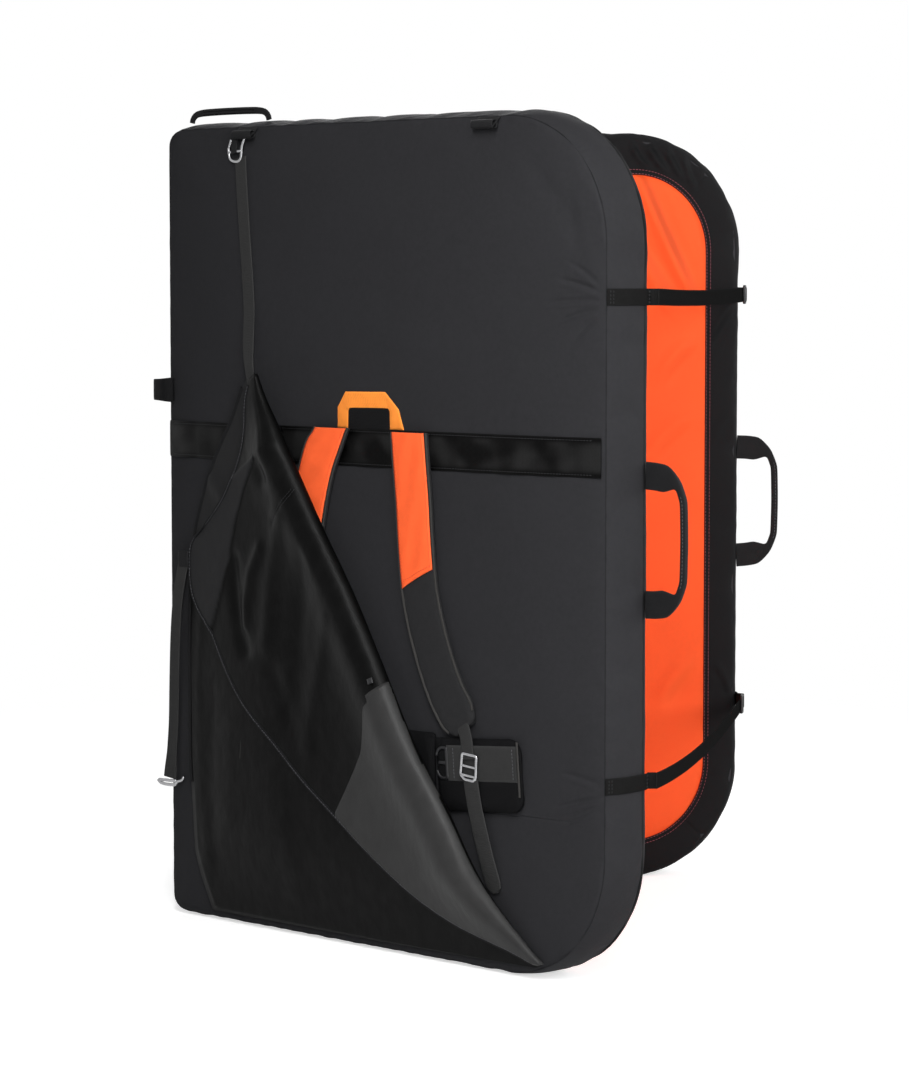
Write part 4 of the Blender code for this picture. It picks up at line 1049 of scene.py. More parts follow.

# %% [markdown]
# ## Straps sewn to the covers
#
# The load band is wide webbing across the harness face. It is held down where it is sewn and rises a little
# between, which shows as soft shiny spots, and its finish paints shiny and dark blotches on its colour too.
# The closure straps run from the front wall to the rear wall and sag, the lower one more. Cloth could be
# simulated to bend with the fold, but a webbing strap is stiff and short, so each is four pieces that meet
# end to end, and the middle two turn as the mat opens.

# %% Load band
# The band's very dark colour stands in part for the flap's shade over it, and its painted shiny blotches stand for
# the highlights on its swells.
FINISHES["band_satin_painted_sheen"] = webbing("band_satin_painted_sheen", (17, 17, 17), 0.42, 0.05, 2.2)
SLOTS["band_satin_painted_sheen"] = "web_black"
band_low, band_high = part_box("load_band")
BAND_Z = (band_low.z + band_high.z) / 2
PUFF_LENGTH, PUFF_HEIGHT = 0.062, 0.0017


def load_band():
    """A strap that follows the crown of the face and swells between its seams."""
    path = []
    for x in np.arange(band_low.x, band_high.x + 0.001, 0.006):
        turn = (x - band_low.x) * math.pi / PUFF_LENGTH
        swell = PUFF_HEIGHT * abs(math.sin(turn)) ** 0.7 * (1 + 0.4 * math.sin(x * 31))
        path.append(Vector((x, face_y(x, BAND_Z) - 0.0012 - swell, BAND_Z)))
    add_strap("load_band_web", path, UP, band_high.z - band_low.z, 0.0020, "band_satin_painted_sheen", "front_half",
              ["load_band"], corners=24)
    rows = [[(p.x, p.y - 0.0011, BAND_Z + side * 0.0215) for p in path[2:-2]] for side in (-1, 1)]
    stitches("load_band_stitches", rows, "thread_black", "front_half")


load_band()


# %% Closure straps
CLOSURE_WEB = 0.021
SAG = {"upper": 0.003, "lower": 0.016}
WALL_ENDS = {"front": ((0.4085, 0.0440), (0.4110, 0.0474)),
             "rear": ((0.4072, 0.0436), (0.4096, 0.0474), (0.4106, 0.0494))}


def closure_end(level, half, part, z):
    """The webbing round a wall, sewn down at its edges, with a free end towards the opening."""
    path = []
    for s in np.linspace(-1, 1, 21):
        swell = SIDE_BULGE * (1 - s ** 2) + back_swell(HALF_DEPTH * (1 + s))
        path.append(Vector((EDGE_X + 0.0012 + swell, HALF_DEPTH * s, z)))
    path += [Vector((x, y, z)) for x, y in WALL_ENDS[half]]
    add_strap(f"{level}_{part}_web", path, UP, CLOSURE_WEB, 0.0020, "web_closure", f"{half}_half",
              [f"{level}_strap_{part}"], half)
    rows = [[path[k] + Vector((0.0011, 0, side * 0.009)) for side in (-1, 1)] for k in (1, 2, 18, 19)]
    stitches(f"{level}_{part}_stitches", rows, "thread_black", f"{half}_half", ACROSS, half)


def closure_slider(level, heading):
    """A plastic frame with a bar across its middle, for a strap that leaves in a heading."""
    low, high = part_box(f"{level}_strap_slider")
    middle = (low + high) / 2 + heading.cross(UP) * 0.0012
    wide, tall = 0.0062, 0.0125
    corners = ((-wide, -tall), (wide, -tall), (wide, tall), (-wide, tall))
    ring = [middle + heading * a + UP * b for a, b in corners]
    loop = resample(ring, 0.003, closed=True)[:-1]
    edge = sweep(loop, heading.cross(UP), 0.0036, 0.0030, 10, 0.6, True)
    pin = sweep([middle - UP * tall, middle + UP * tall], heading, 0.0032, 0.0026, 10, 0.6)
    add_piece(f"{level}_slider_frame", *joined([edge[:2], pin[:2]]), "plastic_black", f"{level}_run",
              [f"{level}_strap_slider"])


def closure(level):
    """The root and the anchor round the walls, and the lead and the run across the opening."""
    low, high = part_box(f"{level}_strap_root")
    z = (low.z + high.z) / 2
    closure_end(level, "front", "root", z)
    closure_end(level, "rear", "anchor", z)
    start, bend = joint_place(f"{level}_lead_turn"), joint_place(f"{level}_run_turn")
    start.z = bend.z = z
    heading = (bend - start).normalized()
    reach = (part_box(f"{level}_strap_run")[1].y - start.y) / heading.y
    split = (bend - start).length
    closure_slider(level, heading)

    def hang(distance):
        share = distance / reach
        return start + heading * distance - UP * (4 * SAG[level] * share * (1 - share))

    spans = {"lead": np.linspace(-0.006, split, 14), "run": np.linspace(split, reach + 0.002, 60)}
    for part, places in spans.items():
        add_strap(f"{level}_{part}_web", [hang(d) for d in places], UP, CLOSURE_WEB, 0.0018, "web_closure",
                  f"{level}_{part}", [f"{level}_strap_{part}"])


for level in ("upper", "lower"):
    closure(level)
print("load band and closure straps")

# %% [markdown]
# ## Carrying handles and loops
#
# Each side handle is one length of webbing. Its legs lie flat and are sewn to the wall, then the webbing
# turns a quarter and is folded in half along its length for the grip. That makes a wide flat leg that
# narrows into a thin edge. So the section changes along the path: wide and thin at the legs, narrow and
# thick at the grip.

# %% Side handles
HANDLE_Y = HALF_DEPTH - 0.007
HANDLE_SHIFT = {"front": 0.004, "rear": -0.001}
GRIP_WIDTH, LEG_WIDTH = 0.0100, 0.0350
GRIP_THICKNESS, LEG_THICKNESS = 0.0062, 0.0024


def side_handle(half):
    """Webbing that is wide and flat at its legs, and folded to a thin edge between them."""
    low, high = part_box("front_side_handle")
    middle = (low.z + high.z) / 2 + HANDLE_SHIFT[half]
    leg = 0.5 * (high.z - low.z) - 0.029
    reach = high.x - low.x
    outline = [(0.0, leg + 0.002), (0.28, leg + 0.001), (0.55, leg - 0.002), (0.80, leg - 0.009),
               (0.92, leg - 0.024), (0.950, leg * 0.58), (0.962, leg * 0.28), (0.967, 0.0)]
    places = [(low.x + reach * a, middle + b) for a, b in outline]
    places += [(x, 2 * middle - z) for x, z in reversed(places[:-1])]
    path = smooth([Vector((x, HANDLE_Y, z)) for x, z in places], 0.0045)
    share = np.abs(np.linspace(-1, 1, len(path)))
    leg_share = ease((share - 0.52) / 0.26)
    width = GRIP_WIDTH + (LEG_WIDTH - GRIP_WIDTH) * leg_share
    thickness = GRIP_THICKNESS - (GRIP_THICKNESS - LEG_THICKNESS) * leg_share
    across = [step.normalized().cross(OUTWARD) for step in steps_along(path)]
    add_strap(f"{half}_handle_web", path, across, width, thickness, "web_black", f"{half}_handle",
              [f"{half}_side_handle"], half, corners=20)
    grip = [Vector(p) + OUTWARD * 0.0033 for p, s in zip(path, share) if s < 0.48]
    back = [p - OUTWARD * 0.0066 for p in grip]
    stitches(f"{half}_handle_stitches", [grip], "thread_grey", f"{half}_handle", OUTWARD, half)
    stitches(f"{half}_handle_back_stitches", [back], "thread_grey", f"{half}_handle", -OUTWARD, half)


for half in ("front", "rear"):
    side_handle(half)


# %% Top handle
def top_handle():
    """A low arch of webbing with its grip folded into ridges."""
    low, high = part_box("top_handle")
    low.x, high.x = low.x - 0.024, high.x - 0.010
    y = (low.y + high.y) / 2
    tall, wide = high.z - low.z, high.x - low.x
    outline = [(0.030, 0.0), (0.040, 0.20), (0.080, 0.40), (0.15, 0.48), (0.28, 0.51), (0.50, 0.52)]
    places = [(low.x + wide * a, low.z + tall * b) for a, b in outline]
    places += [(low.x + high.x - x, z) for x, z in reversed(places[:-1])]
    path = smooth([Vector((x, y, z)) for x, z in places], 0.004)
    share = np.abs(np.linspace(-1, 1, len(path)))
    grip = 1 - np.clip((share - 0.60) / 0.2, 0, 1)
    across = [step.normalized().cross(OUTWARD) for step in steps_along(path)]
    add_strap("top_handle_web", path, across, 0.0090 + 0.0008 * grip, 0.0034 + 0.0022 * grip, "web_black",
              "top_grip", ["top_handle"], corners=20)
    for side in (-1, 1):
        ridge = [Vector(p) + Vector((0, -0.0022, side * 0.0021)) for p, g in zip(path, grip) if g > 0.9]
        add_strap(f"top_handle_ridge_{'low' if side < 0 else 'high'}", ridge, UP, 0.0034, 0.0030, "web_black",
                  "top_grip", corners=12, power=0.8)


top_handle()


# %% [markdown]
# The hauling loop is flat orange webbing that is folded over at its corners. A strap carried along a path
# would round those corners off, so its outer and inner outlines are drawn, and the strip between them is
# filled. The small loop beyond the spine is plain webbing bent double.

# %% Spine loop and haul loop
def spine_loop():
    low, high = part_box("spine_loop")
    z, inner, outer = (low.z + high.z) / 2, high.y - 0.0008, low.y + 0.0008
    places = [(high.x - 0.004, inner), (low.x + 0.016, inner), (low.x + 0.009, (inner + outer) / 2 + 0.003),
              (low.x + 0.009, (inner + outer) / 2 - 0.003), (low.x + 0.018, outer), (high.x - 0.012, outer),
              (high.x - 0.003, inner - 0.003)]
    path = smooth([Vector((x, y, z)) for x, y in places], 0.003)
    width = (high.z - low.z) * (0.97 - 0.16 * np.sin(np.linspace(0, math.pi, len(path))))
    add_strap("spine_loop_web", path, UP, width, 0.0018, "web_band", "edge_loop", ["spine_loop"])


def haul_loop():
    """A flat strap with mitred corners, which shows its folded corner at the upper right."""
    low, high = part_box("haul_loop")
    y, wide, tall = (low.y + high.y) / 2, high.x - low.x, high.z - low.z
    outer = [(0.0, 0.0), (0.0, 0.55), (0.12, 0.98), (0.72, 1.0), (0.92, 0.55), (1.0, 0.0)]
    inner = [(0.17, 0.0), (0.18, 0.46), (0.19, 0.5), (0.77, 0.52), (0.78, 0.48), (0.79, 0.0)]
    corners = list(zip(outer, inner))
    rows = []
    for a, b in zip(corners, corners[1:]):
        for t in np.linspace(0, 1, 8, endpoint=False):
            rows.append([(p[0] + (q[0] - p[0]) * t, p[1] + (q[1] - p[1]) * t) for p, q in zip(a, b)])
    rows.append(corners[-1])
    points, along_at, across_at, edge_at = [], [], [], []
    length = 0.0
    columns = np.linspace(0, 1, 9)
    for i, (out, into) in enumerate(rows):
        if i:
            length += math.dist(out, rows[i - 1][0]) * 0.08
        for side in (-1, 1):
            for t in columns if side < 0 else columns[::-1]:
                x = low.x + wide * (out[0] + (into[0] - out[0]) * t)
                z = low.z + tall * (out[1] + (into[1] - out[1]) * t)
                thick = 0.0011 * (1 - abs(2 * t - 1) ** 6) ** 0.5
                points.append(Vector((x, y + side * thick, z)))
                along_at.append(length)
                across_at.append((t - 0.5) * 0.02)
                edge_at.append(abs(2 * t - 1))
    add_piece("haul_loop_web", points, ring_faces(len(rows), 2 * len(columns)), "loop_orange", "haul",
              ["haul_loop"], {"along": along_at, "across": across_at, "edge": edge_at})


def haul_backing():
    """The black tape that the hauling loop and the straps are sewn to, seen through the loop."""
    low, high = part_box("haul_loop")
    x = low.x + (high.x - low.x) * 0.475
    path = [Vector((x, face_y(x, z) - 0.0012, z)) for z in np.linspace(BAND_Z + 0.018, low.z + 0.0300, 10)]
    add_strap("haul_loop_backing", path, ACROSS, (high.x - low.x) * 0.64, 0.0016, "web_band", "front_half")


spine_loop()
haul_loop()
haul_backing()


# %% Rolled loops in the top seam
def seam_loop(name):
    """Webbing rolled once round and sewn into the seam, with its end tucked in."""
    low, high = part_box(name)
    x, y, z = ((low[k] + high[k]) / 2 for k in range(3))
    radius = (high.z - low.z) / 2 - 0.0009
    turns = np.linspace(-0.35 * math.pi, 1.75 * math.pi, 40)
    path = [Vector((x, y - radius * 0.95 * math.cos(t), z + radius * math.sin(t))) for t in turns]
    path.append(Vector((x, -HALF_DEPTH - 0.001, HIGH_SEAM - 0.001)))
    add_strap(f"{name}_web", path, ACROSS, high.x - low.x, 0.0017, "web_black", "front_half", [name])


for name in ("top_left_loop", "top_right_loop"):
    seam_loop(name)
print("handles and loops")

# %% [markdown]
# ## Shoulder straps
#
# A shoulder strap is a strip of foam in grey cloth, with an orange sleeve over its upper half and grey
# binding down both edges. Sewing draws the edges in, so its section is a pillow. Webbing comes out of its
# lower end, goes through a metal ladder buckle, and the loose tail hangs below.

# %% Strap lines
RIGHT_STRAP = ((0.603, 0.630), (0.608, 0.590), (0.6135, 0.550), (0.6195, 0.492), (0.629, 0.437),
               (0.652, 0.380), (0.686, 0.325), (0.728, 0.284))
LEFT_STRAP = ((0.426, 0.632), (0.398, 0.596), (0.378, 0.550), (0.360, 0.490), (0.340, 0.435),
              (0.325, 0.370), (0.319, 0.322), (0.317, 0.292))
STRAP_WIDTH, STRAP_THICKNESS, STRAP_LIFT = 0.063, 0.0105, 0.0012
STRAP_WEB = 0.021


def face_path(shares, lift, step=0.006):
    """A smooth line on the harness face through places given as shares, at one lift or between two."""
    flat = smooth(at_all(shares), step)
    lifts = np.linspace(*lift, len(flat)) if isinstance(lift, tuple) else np.full(len(flat), lift)
    return [Vector((x, face_y(x, z) - up, z)) for (x, z, _), up in zip(flat, lifts)]


def face_across(path, level_rows=0, closed=False):
    """The direction of a strap's width at each point of a path, level where the strap is sewn in."""
    sides = [step.cross(OUTWARD).normalized() for step in steps_along(path, closed)]
    for i in range(level_rows):
        sides[i] = (-ACROSS).lerp(sides[i], ease(i / level_rows)).normalized()
    return sides


# %% Pads and sleeves
LEVEL_ROWS = 9
SLEEVE_SHARE, SLEEVE_SLANT = 0.475, 0.0105
SLANT_SIDE = {"right": 1, "left": -1}


def pad_width(count):
    """The pad's width at so many points: even, and drawn in at its lower end."""
    share = np.linspace(0, 1, count)
    return STRAP_WIDTH * (1 - 0.42 * np.clip((share - 0.93) / 0.07, 0, 1) ** 2)


def strap_pad(side, line, body):
    """A pillow of foam and cloth, wrinkled below its sleeve."""
    path = face_path(line, STRAP_LIFT + STRAP_THICKNESS / 2)
    share = np.linspace(0, 1, len(path))
    wrinkle = 0.0007 * np.sin(share * 80 + 2 * np.sin(share * 23)) * np.clip((share - 0.45) / 0.1, 0, 1)
    pad = add_strap(f"{side}_strap_cloth", path, face_across(path, LEVEL_ROWS), pad_width(len(path)),
                    STRAP_THICKNESS + wrinkle, "pad_grey", body, [f"{side}_strap_pad"],
                    corners=32, power=0.40, keep_across=True)
    return path


def strap_binding(side, path, body):
    """A folded tape down both edges of the pad."""
    across = face_across(path, LEVEL_ROWS)
    reach = pad_width(len(path)) / 2 - 0.0012
    rise = STRAP_THICKNESS * 0.28
    for sign, edge in ((1, "left"), (-1, "right")):
        line = [p + a * (sign * r) + OUTWARD * rise for p, a, r in zip(path, across, reach)]
        leans = [a + OUTWARD * (0.55 * sign) for a in across[:-2]]
        add_strap(f"{side}_strap_binding_{edge}", line[:-2], leans, 0.0046, 0.0030, "binding_grey", body,
                  corners=10, power=0.7)


def strap_sleeve(side, path, body):
    """An orange sheet over the pad's upper part, cut off at a slant."""
    points, along_at, across_at, edge_at = [], [], [], []
    across = face_across(path, LEVEL_ROWS)
    columns = np.linspace(-1, 1, 19)
    runs = np.concatenate([[0], np.cumsum([(b - a).length for a, b in zip(path, path[1:])])])
    end = runs[-1] * SLEEVE_SHARE
    rows = np.linspace(0, 1, 60)
    half_width = STRAP_WIDTH * 0.455
    for row in rows:
        for c in columns:
            run = row * (end + c * SLEEVE_SLANT * SLANT_SIDE[side])
            i = min(int(np.searchsorted(runs, run, "right")) - 1, len(path) - 2)
            t = (run - runs[i]) / (runs[i + 1] - runs[i])
            centre, sideways = path[i].lerp(path[i + 1], t), across[i].lerp(across[i + 1], t)
            puff = 0.0009 * math.sin(row * 9 + c * 2) * math.sin(row * 21 - c * 3) * (1 - c * c)
            bulge = STRAP_THICKNESS / 2 * (1 - abs(c * 0.9) ** 4) ** 0.4 + 0.0014 + puff
            points.append(centre + sideways * (c * half_width) + OUTWARD * bulge)
            along_at.append(run)
            across_at.append(c * half_width)
            edge_at.append(abs(c))
    index = numbered(len(rows), len(columns))
    sleeve = add_piece(f"{side}_sleeve_cloth", points, as_tuples(quads(index)), "strap_orange", body,
                       [f"{side}_strap_sleeve"], {"along": along_at, "across": across_at, "edge": edge_at})
    thicken(sleeve, 0.0010)
    for k, row in ((1, "left"), (-2, "right")):
        edge = [points[i] + OUTWARD * 0.0006 for i in index[1:-1, k]]
        stitches(f"{side}_sleeve_stitches_{row}", [edge], "thread_orange", body)
    hem = [points[i] + OUTWARD * 0.0006 for i in index[-3, 1:-1]]
    stitches(f"{side}_sleeve_stitches_end", [hem], "thread_orange", body)


FINISHES["binding_grey"] = woven("binding_grey", (58, 57, 56), 0.70, 0.03, 0.14)
SLOTS["binding_grey"] = "pad_grey"


# %% [markdown]
# A ladder buckle is a flat steel frame with bars across it, and the webbing grips by passing over and under
# them. A box with holes cut in it would have sharp inner edges. Here each bar is carried along its own line
# with a rounded section, and the bars overlap where they are welded.

# %% Bars of metal
def bar(path, width, thickness, closed=False):
    """A bar bent in the face's plane, as points and faces. Its thickness goes into the face."""
    return sweep(path, face_across(path, closed=closed), width, thickness, 12, 0.6, closed)[:2]


def corner_rounded(corners, radius, steps=5):
    """A closed outline with its corners rounded off, in x and z."""
    out = []
    count = len(corners)
    for i in range(count):
        before, here, after = (Vector(corners[(i + k) % count]) for k in (-1, 0, 1))
        a = here + (before - here).normalized() * radius
        b = here + (after - here).normalized() * radius
        for k in range(steps + 1):
            t = k / steps
            out.append(a * (1 - t) ** 2 + here * 2 * t * (1 - t) + b * t * t)
    return out


def ladder_buckle(name, node, body, lean, width_share, rise=0.0):
    """A frame with a bar across its middle, its lower corners cut off."""
    low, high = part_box(node)
    centre = (low + high) / 2
    centre.x = at(width_share, 0)[0]
    centre.y -= rise
    wide, tall = 0.0265, 0.0330
    outline = corner_rounded(
        [(-wide * 0.48, tall / 2), (wide * 0.46, tall / 2), (wide / 2, -tall * 0.38),
         (wide * 0.36, -tall / 2), (-wide * 0.22, -tall / 2), (-wide / 2, -tall * 0.34)], 0.003)
    turn = Matrix.Rotation(lean, 4, "Y")

    def put(x, z, out=0.0):
        return centre + turn @ Vector((x, 0, z)) + OUTWARD * out

    across = np.linspace(-wide / 2, wide / 2, 8)
    parts = [bar([put(p.x, p.y) for p in outline], 0.0044, 0.0040, closed=True),
             bar([put(x, 0.001) for x in across], 0.0036, 0.0030),
             bar([put(x, -tall * 0.33, 0.0006) for x in across], 0.0036, 0.0026)]
    add_piece(name, *joined(parts), "metal", body, [node])


# %% Webbing, buckle and tail
RIGHT_TAIL = ((0.7475, 0.2255), (0.7510, 0.205), (0.756, 0.185), (0.770, 0.142), (0.788, 0.094))
LEFT_TAIL = ((0.317, 0.2165), (0.315, 0.19), (0.309, 0.147), (0.302, 0.106))
RIGHT_WEB = ((0.722, 0.292), (0.729, 0.283), (0.736, 0.270), (0.7405, 0.250))
LEFT_WEB = ((0.317, 0.300), (0.317, 0.289), (0.317, 0.270), (0.317, 0.246))
TAIL_WEB = 0.025


def shoulder_strap(side, line, web, tail, lean, rise=0.0):
    body = f"{side}_strap"
    path = strap_pad(side, line, body)
    strap_binding(side, path, body)
    strap_sleeve(side, path, body)
    path = face_path(web, (STRAP_LIFT + STRAP_THICKNESS * 0.9 + rise / 2, 0.0150 + rise))
    add_strap(f"{side}_strap_webbing", path, face_across(path), STRAP_WEB, 0.0018, "web_strap", body,
              [f"{side}_strap_web"])
    ladder_buckle(f"{side}_ladder_buckle", f"{side}_strap_buckle", body, lean, web[-1][0] + 0.003, rise)
    path = face_path(tail, (0.0152 + rise, 0.0040))
    share = np.linspace(0, 1, len(path))
    width = TAIL_WEB * (1 + 0.04 * share) * np.sqrt(1 - 0.85 * np.clip((share - 0.91) / 0.09, 0, 1) ** 2)
    add_strap(f"{side}_strap_end", path, face_across(path), width, 0.0019, "web_strap", body,
              [f"{side}_strap_tail"])


shoulder_strap("right", RIGHT_STRAP, RIGHT_WEB, RIGHT_TAIL, math.radians(4.5))
shoulder_strap("left", LEFT_STRAP, LEFT_WEB, LEFT_TAIL, 0.0, -0.0060)
print("shoulder straps")

# %% [markdown]
# ## Hip belt
#
# The belt's middle is sewn to the face and a padded wing lies on each side, folded in behind the buckle
# webbing. Each pad is a cushion: two crowned faces that meet in a rounded edge with a binding.

# %% Cushions
CUSHION_EDGE, CUSHION_CAP = 0.010, 0.0012
WING_LEAN = math.radians(4.5)
WING_RISE = 0.008


def crowded(count):
    """Places from -1 to 1 that crowd together towards both ends."""
    places = np.linspace(-1, 1, count)
    return np.sin(places * np.pi / 2 * 0.98) / math.sin(np.pi / 2 * 0.98)


def cushion(low, high, radius, columns=36, rows=24, square_side=0):
    """A flat pad in a box, crowned on both faces, with round corners. One side can stay square."""
    a, b = np.meshgrid(crowded(columns), crowded(rows))
    wide, tall, thick = (high.x - low.x) / 2, (high.z - low.z) / 2, (high.y - low.y) / 2
    x, z = a * wide, b * tall
    for side in (-1, 1):
        if side == square_side:
            continue
        for level in (-1, 1):
            u, v = (side * x - (wide - radius)) / radius, (level * z - (tall - radius)) / radius
            near = (u > 0) & (v > 0)
            u, v = u[near], v[near]
            x[near] = side * (wide - radius + radius * u * np.sqrt(1 - v ** 2 / 2))
            z[near] = level * (tall - radius + radius * v * np.sqrt(1 - u ** 2 / 2))
    edge = np.minimum(wide * (1 - np.abs(a)), tall * (1 - np.abs(b)))
    swell = thick * (1 - (1 - np.clip(edge / CUSHION_EDGE, 0, 1)) ** 2) ** 0.5
    centre = (low + high) / 2
    front, back = (np.stack([centre.x + x, centre.y + side * swell, centre.z + z], -1).reshape(-1, 3)
                   for side in (-1, 1))
    index = numbered(rows, columns)
    other = index + rows * columns
    other[0], other[-1], other[:, 0], other[:, -1] = index[0], index[-1], index[:, 0], index[:, -1]
    points = np.concatenate([front, back])
    faces = np.concatenate([quads(index), quads(other)[:, ::-1]])
    used, numbers = np.unique(faces, return_inverse=True)
    return points[used], numbers.reshape(-1, 4), rim(index)


def tilted(points, side):
    """Points of a belt wing turned in the face's plane, so its free end stands higher."""
    turn = WING_LEAN if side == "right" else -WING_LEAN
    low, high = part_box(f"{side}_hip_wing")
    centre = (low + high) / 2
    x, z = points[:, 0] - centre.x, points[:, 2] - centre.z
    out = points.copy()
    out[:, 0] = centre.x + x * math.cos(turn) - z * math.sin(turn)
    out[:, 2] = centre.z + x * math.sin(turn) + z * math.cos(turn)
    return out


def on_wing(places, side):
    """Places beside a belt wing, as points turned with it."""
    return [Vector(p) for p in tilted(np.array([tuple(p) for p in places]), side)]


def add_cushion(name, node, finish, body, radius, square_side=0):
    """A belt pad, swollen between its seams, and turned in the face's plane where it is a wing."""
    low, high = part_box(node)
    if body != "front_half":
        low.z += WING_RISE
    points, faces, pins = cushion(low, high, radius, square_side=square_side)
    points = inflate(points, faces, pins, CUSHION_CAP, growth=0.02)
    points[:, 1] = np.clip(points[:, 1], low.y - 0.001, high.y + 0.0005)
    if body != "front_half":
        points = tilted(points, body.split("_")[0])
    piece = add_piece(name, points, as_tuples(faces), finish, body, [node])
    soften(piece)


# %% Belt pads and webbing
FINISHES["belt_black"] = woven("belt_black", (16, 16, 17), 0.65, 0.04, 0.14)
SLOTS["belt_black"] = "pad_grey"
add_cushion("hip_belt_pad", "hip_belt_middle", "belt_black", "front_half", 0.006)
add_cushion("right_wing_pad", "right_hip_wing", "belt_black", "right_wing", 0.022, square_side=-1)
add_cushion("left_wing_pad", "left_hip_wing", "belt_black", "left_wing", 0.022, square_side=1)


def wing_webbing(side, turn):
    """Wide webbing over the wing, stitched near both ends, and a bound lip along the wing's rim."""
    body = f"{side}_wing"
    low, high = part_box(f"{side}_hip_web")
    z = (low.z + high.z) / 2
    first, last = (low.x, high.x) if turn > 0 else (high.x, low.x)
    last += turn * 0.004
    top, foot = on_wing([(0.0, 0.0, 1.0), (0.0, 0.0, 0.0)], side)
    path = on_wing([(x, low.y + 0.0008, z) for x in np.linspace(first, last, 24)], side)
    add_strap(f"{side}_wing_webbing", path, top - foot, high.z - low.z, 0.0020, "web_strap", body,
              [f"{side}_hip_web"])
    wing_low, wing_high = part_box(f"{side}_hip_wing")
    rim_x = wing_high.x - 0.0035 if turn > 0 else wing_low.x + 0.0035
    heights = np.linspace(wing_low.z + 0.030, wing_high.z - 0.004, 12)
    lip = on_wing([(rim_x, wing_low.y + 0.0010, v) for v in heights], side)
    add_strap(f"{side}_wing_lip", lip, ACROSS * turn + OUTWARD * 0.9, 0.0090, 0.0026, "binding_grey", body)
    rows = [on_wing([(x, low.y - 0.0007, z + s * 0.020) for s in (-1, 1)], side)
            for x in (first + turn * 0.012, last - turn * 0.006)]
    stitches(f"{side}_wing_stitches", rows, "thread_grey", body)


def wing_buckle(side, turn):
    """Three prongs on a root bar, the outer two drawn in at their tips."""
    low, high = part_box(f"{side}_hip_buckle")
    y, z = (low.y + high.y) / 2, (low.z + high.z) / 2
    root, tip = (high.x, low.x) if turn > 0 else (low.x, high.x)
    out = tip - root
    parts = [bar([(root, y, z + s * 0.021) for s in np.linspace(-1, 1, 12)], 0.0050, 0.0032)]
    for s in (-1, 1):
        prong = [(root + out * a, y, z + s * 0.022 * b) for a, b in
                 ((0.0, 0.86), (0.35, 0.90), (0.70, 0.82), (0.92, 0.60), (0.98, 0.42))]
        parts.append(bar(smooth(prong, 0.002), 0.0040, 0.0030))
    parts.append(bar([(root + out * a, y, z) for a in np.linspace(0, 0.8, 8)], 0.0050, 0.0022))
    points, faces = joined(parts)
    add_piece(f"{side}_wing_buckle", on_wing(points, side), faces, "plastic_black", f"{side}_wing",
              [f"{side}_hip_buckle"])


for side, turn in (("right", 1), ("left", -1)):
    wing_webbing(side, turn)
    wing_buckle(side, turn)
print("hip belt")

# %% [markdown]
# ## The cover flap
#
# The flap is a large coated sheet sewn along the bottom seam. Closed, it covers the whole harness. Here it
# is unhooked on the right and folded over to the left, so it lies in two layers with a soft roll between
# them. The crease and the hem are given curves, and the sheet is a grid of rows that start at the sewn
# edge, run up under the roll, turn round it and come back to the free hem. Folds are added along short
# lines. A cloth simulation could drape it, but its outline would drift away from these curves.

# %% Curves of the flap
FLAP_CREASE = ((0.258, 0.695), (0.284, 0.663), (0.319, 0.628), (0.358, 0.584), (0.421, 0.512), (0.491, 0.437),
               (0.552, 0.362), (0.630, 0.263), (0.714, 0.179), (0.784, 0.098), (0.855, 0.035), (0.879, 0.018))
FLAP_HEM = ((0.247, 0.690), (0.237, 0.662), (0.235, 0.625), (0.222, 0.590), (0.184, 0.544), (0.124, 0.503),
            (0.085, 0.481), (0.076, 0.457), (0.081, 0.419), (0.101, 0.394), (0.130, 0.373), (0.183, 0.317),
            (0.231, 0.279), (0.302, 0.240), (0.374, 0.198), (0.443, 0.164), (0.524, 0.124), (0.615, 0.082),
            (0.710, 0.051), (0.816, 0.030), (0.864, 0.017))
FLAP_UNDER = ((0.229, 0.687), (0.217, 0.677), (0.187, 0.636), (0.142, 0.591), (0.107, 0.546), (0.081, 0.501),
              (0.064, 0.455), (0.059, 0.353), (0.060, 0.199), (0.073, 0.084), (0.110, 0.009), (0.527, 0.009),
              (0.865, 0.012))
FACING_EDGE = ((0.258, 0.700), (0.270, 0.680), (0.284, 0.657), (0.306, 0.606), (0.276, 0.592), (0.237, 0.553),
               (0.214, 0.519), (0.196, 0.481), (0.178, 0.443), (0.157, 0.406), (0.144, 0.384), (0.120, 0.360))
PANEL_EDGE = ((0.580, 0.335), (0.555, 0.321), (0.534, 0.306), (0.516, 0.248), (0.486, 0.209), (0.440, 0.150))
RIDGE = ((0.265, 0.688), (0.277, 0.663), (0.294, 0.627), (0.303, 0.606))
FLAP_SEAM = ((0.392, 0.566), (0.380, 0.558), (0.346, 0.536), (0.315, 0.513))
OVER_FOLDS = (
    (RIDGE, 0.0050, 0.008), (((0.288, 0.577), (0.292, 0.570)), -0.0050, 0.014),
    (((0.273, 0.480), (0.248, 0.449), (0.235, 0.414), (0.230, 0.382)), 0.0038, 0.009),
    (((0.199, 0.462), (0.206, 0.412), (0.215, 0.381), (0.230, 0.351)), -0.0048, 0.012),
    (((0.330, 0.520), (0.300, 0.440), (0.285, 0.360)), 0.0030, 0.016),
    (((0.400, 0.480), (0.370, 0.380), (0.360, 0.300)), -0.0026, 0.018),
    (((0.440, 0.400), (0.400, 0.290), (0.385, 0.240)), 0.0020, 0.014),
    (((0.300, 0.330), (0.345, 0.270)), -0.0022, 0.014), (FLAP_SEAM, -0.0012, 0.004))
UNDER_FOLDS = (
    (((0.100, 0.430), (0.083, 0.300), (0.088, 0.160), (0.110, 0.050)), 0.0012, 0.006),
    (((0.128, 0.300), (0.120, 0.180), (0.135, 0.080)), -0.0010, 0.009),
    (((0.180, 0.250), (0.170, 0.140)), 0.0010, 0.018), (((0.300, 0.180), (0.330, 0.060)), 0.0012, 0.020),
    (((0.130, 0.560), (0.160, 0.540)), 0.0030, 0.012))
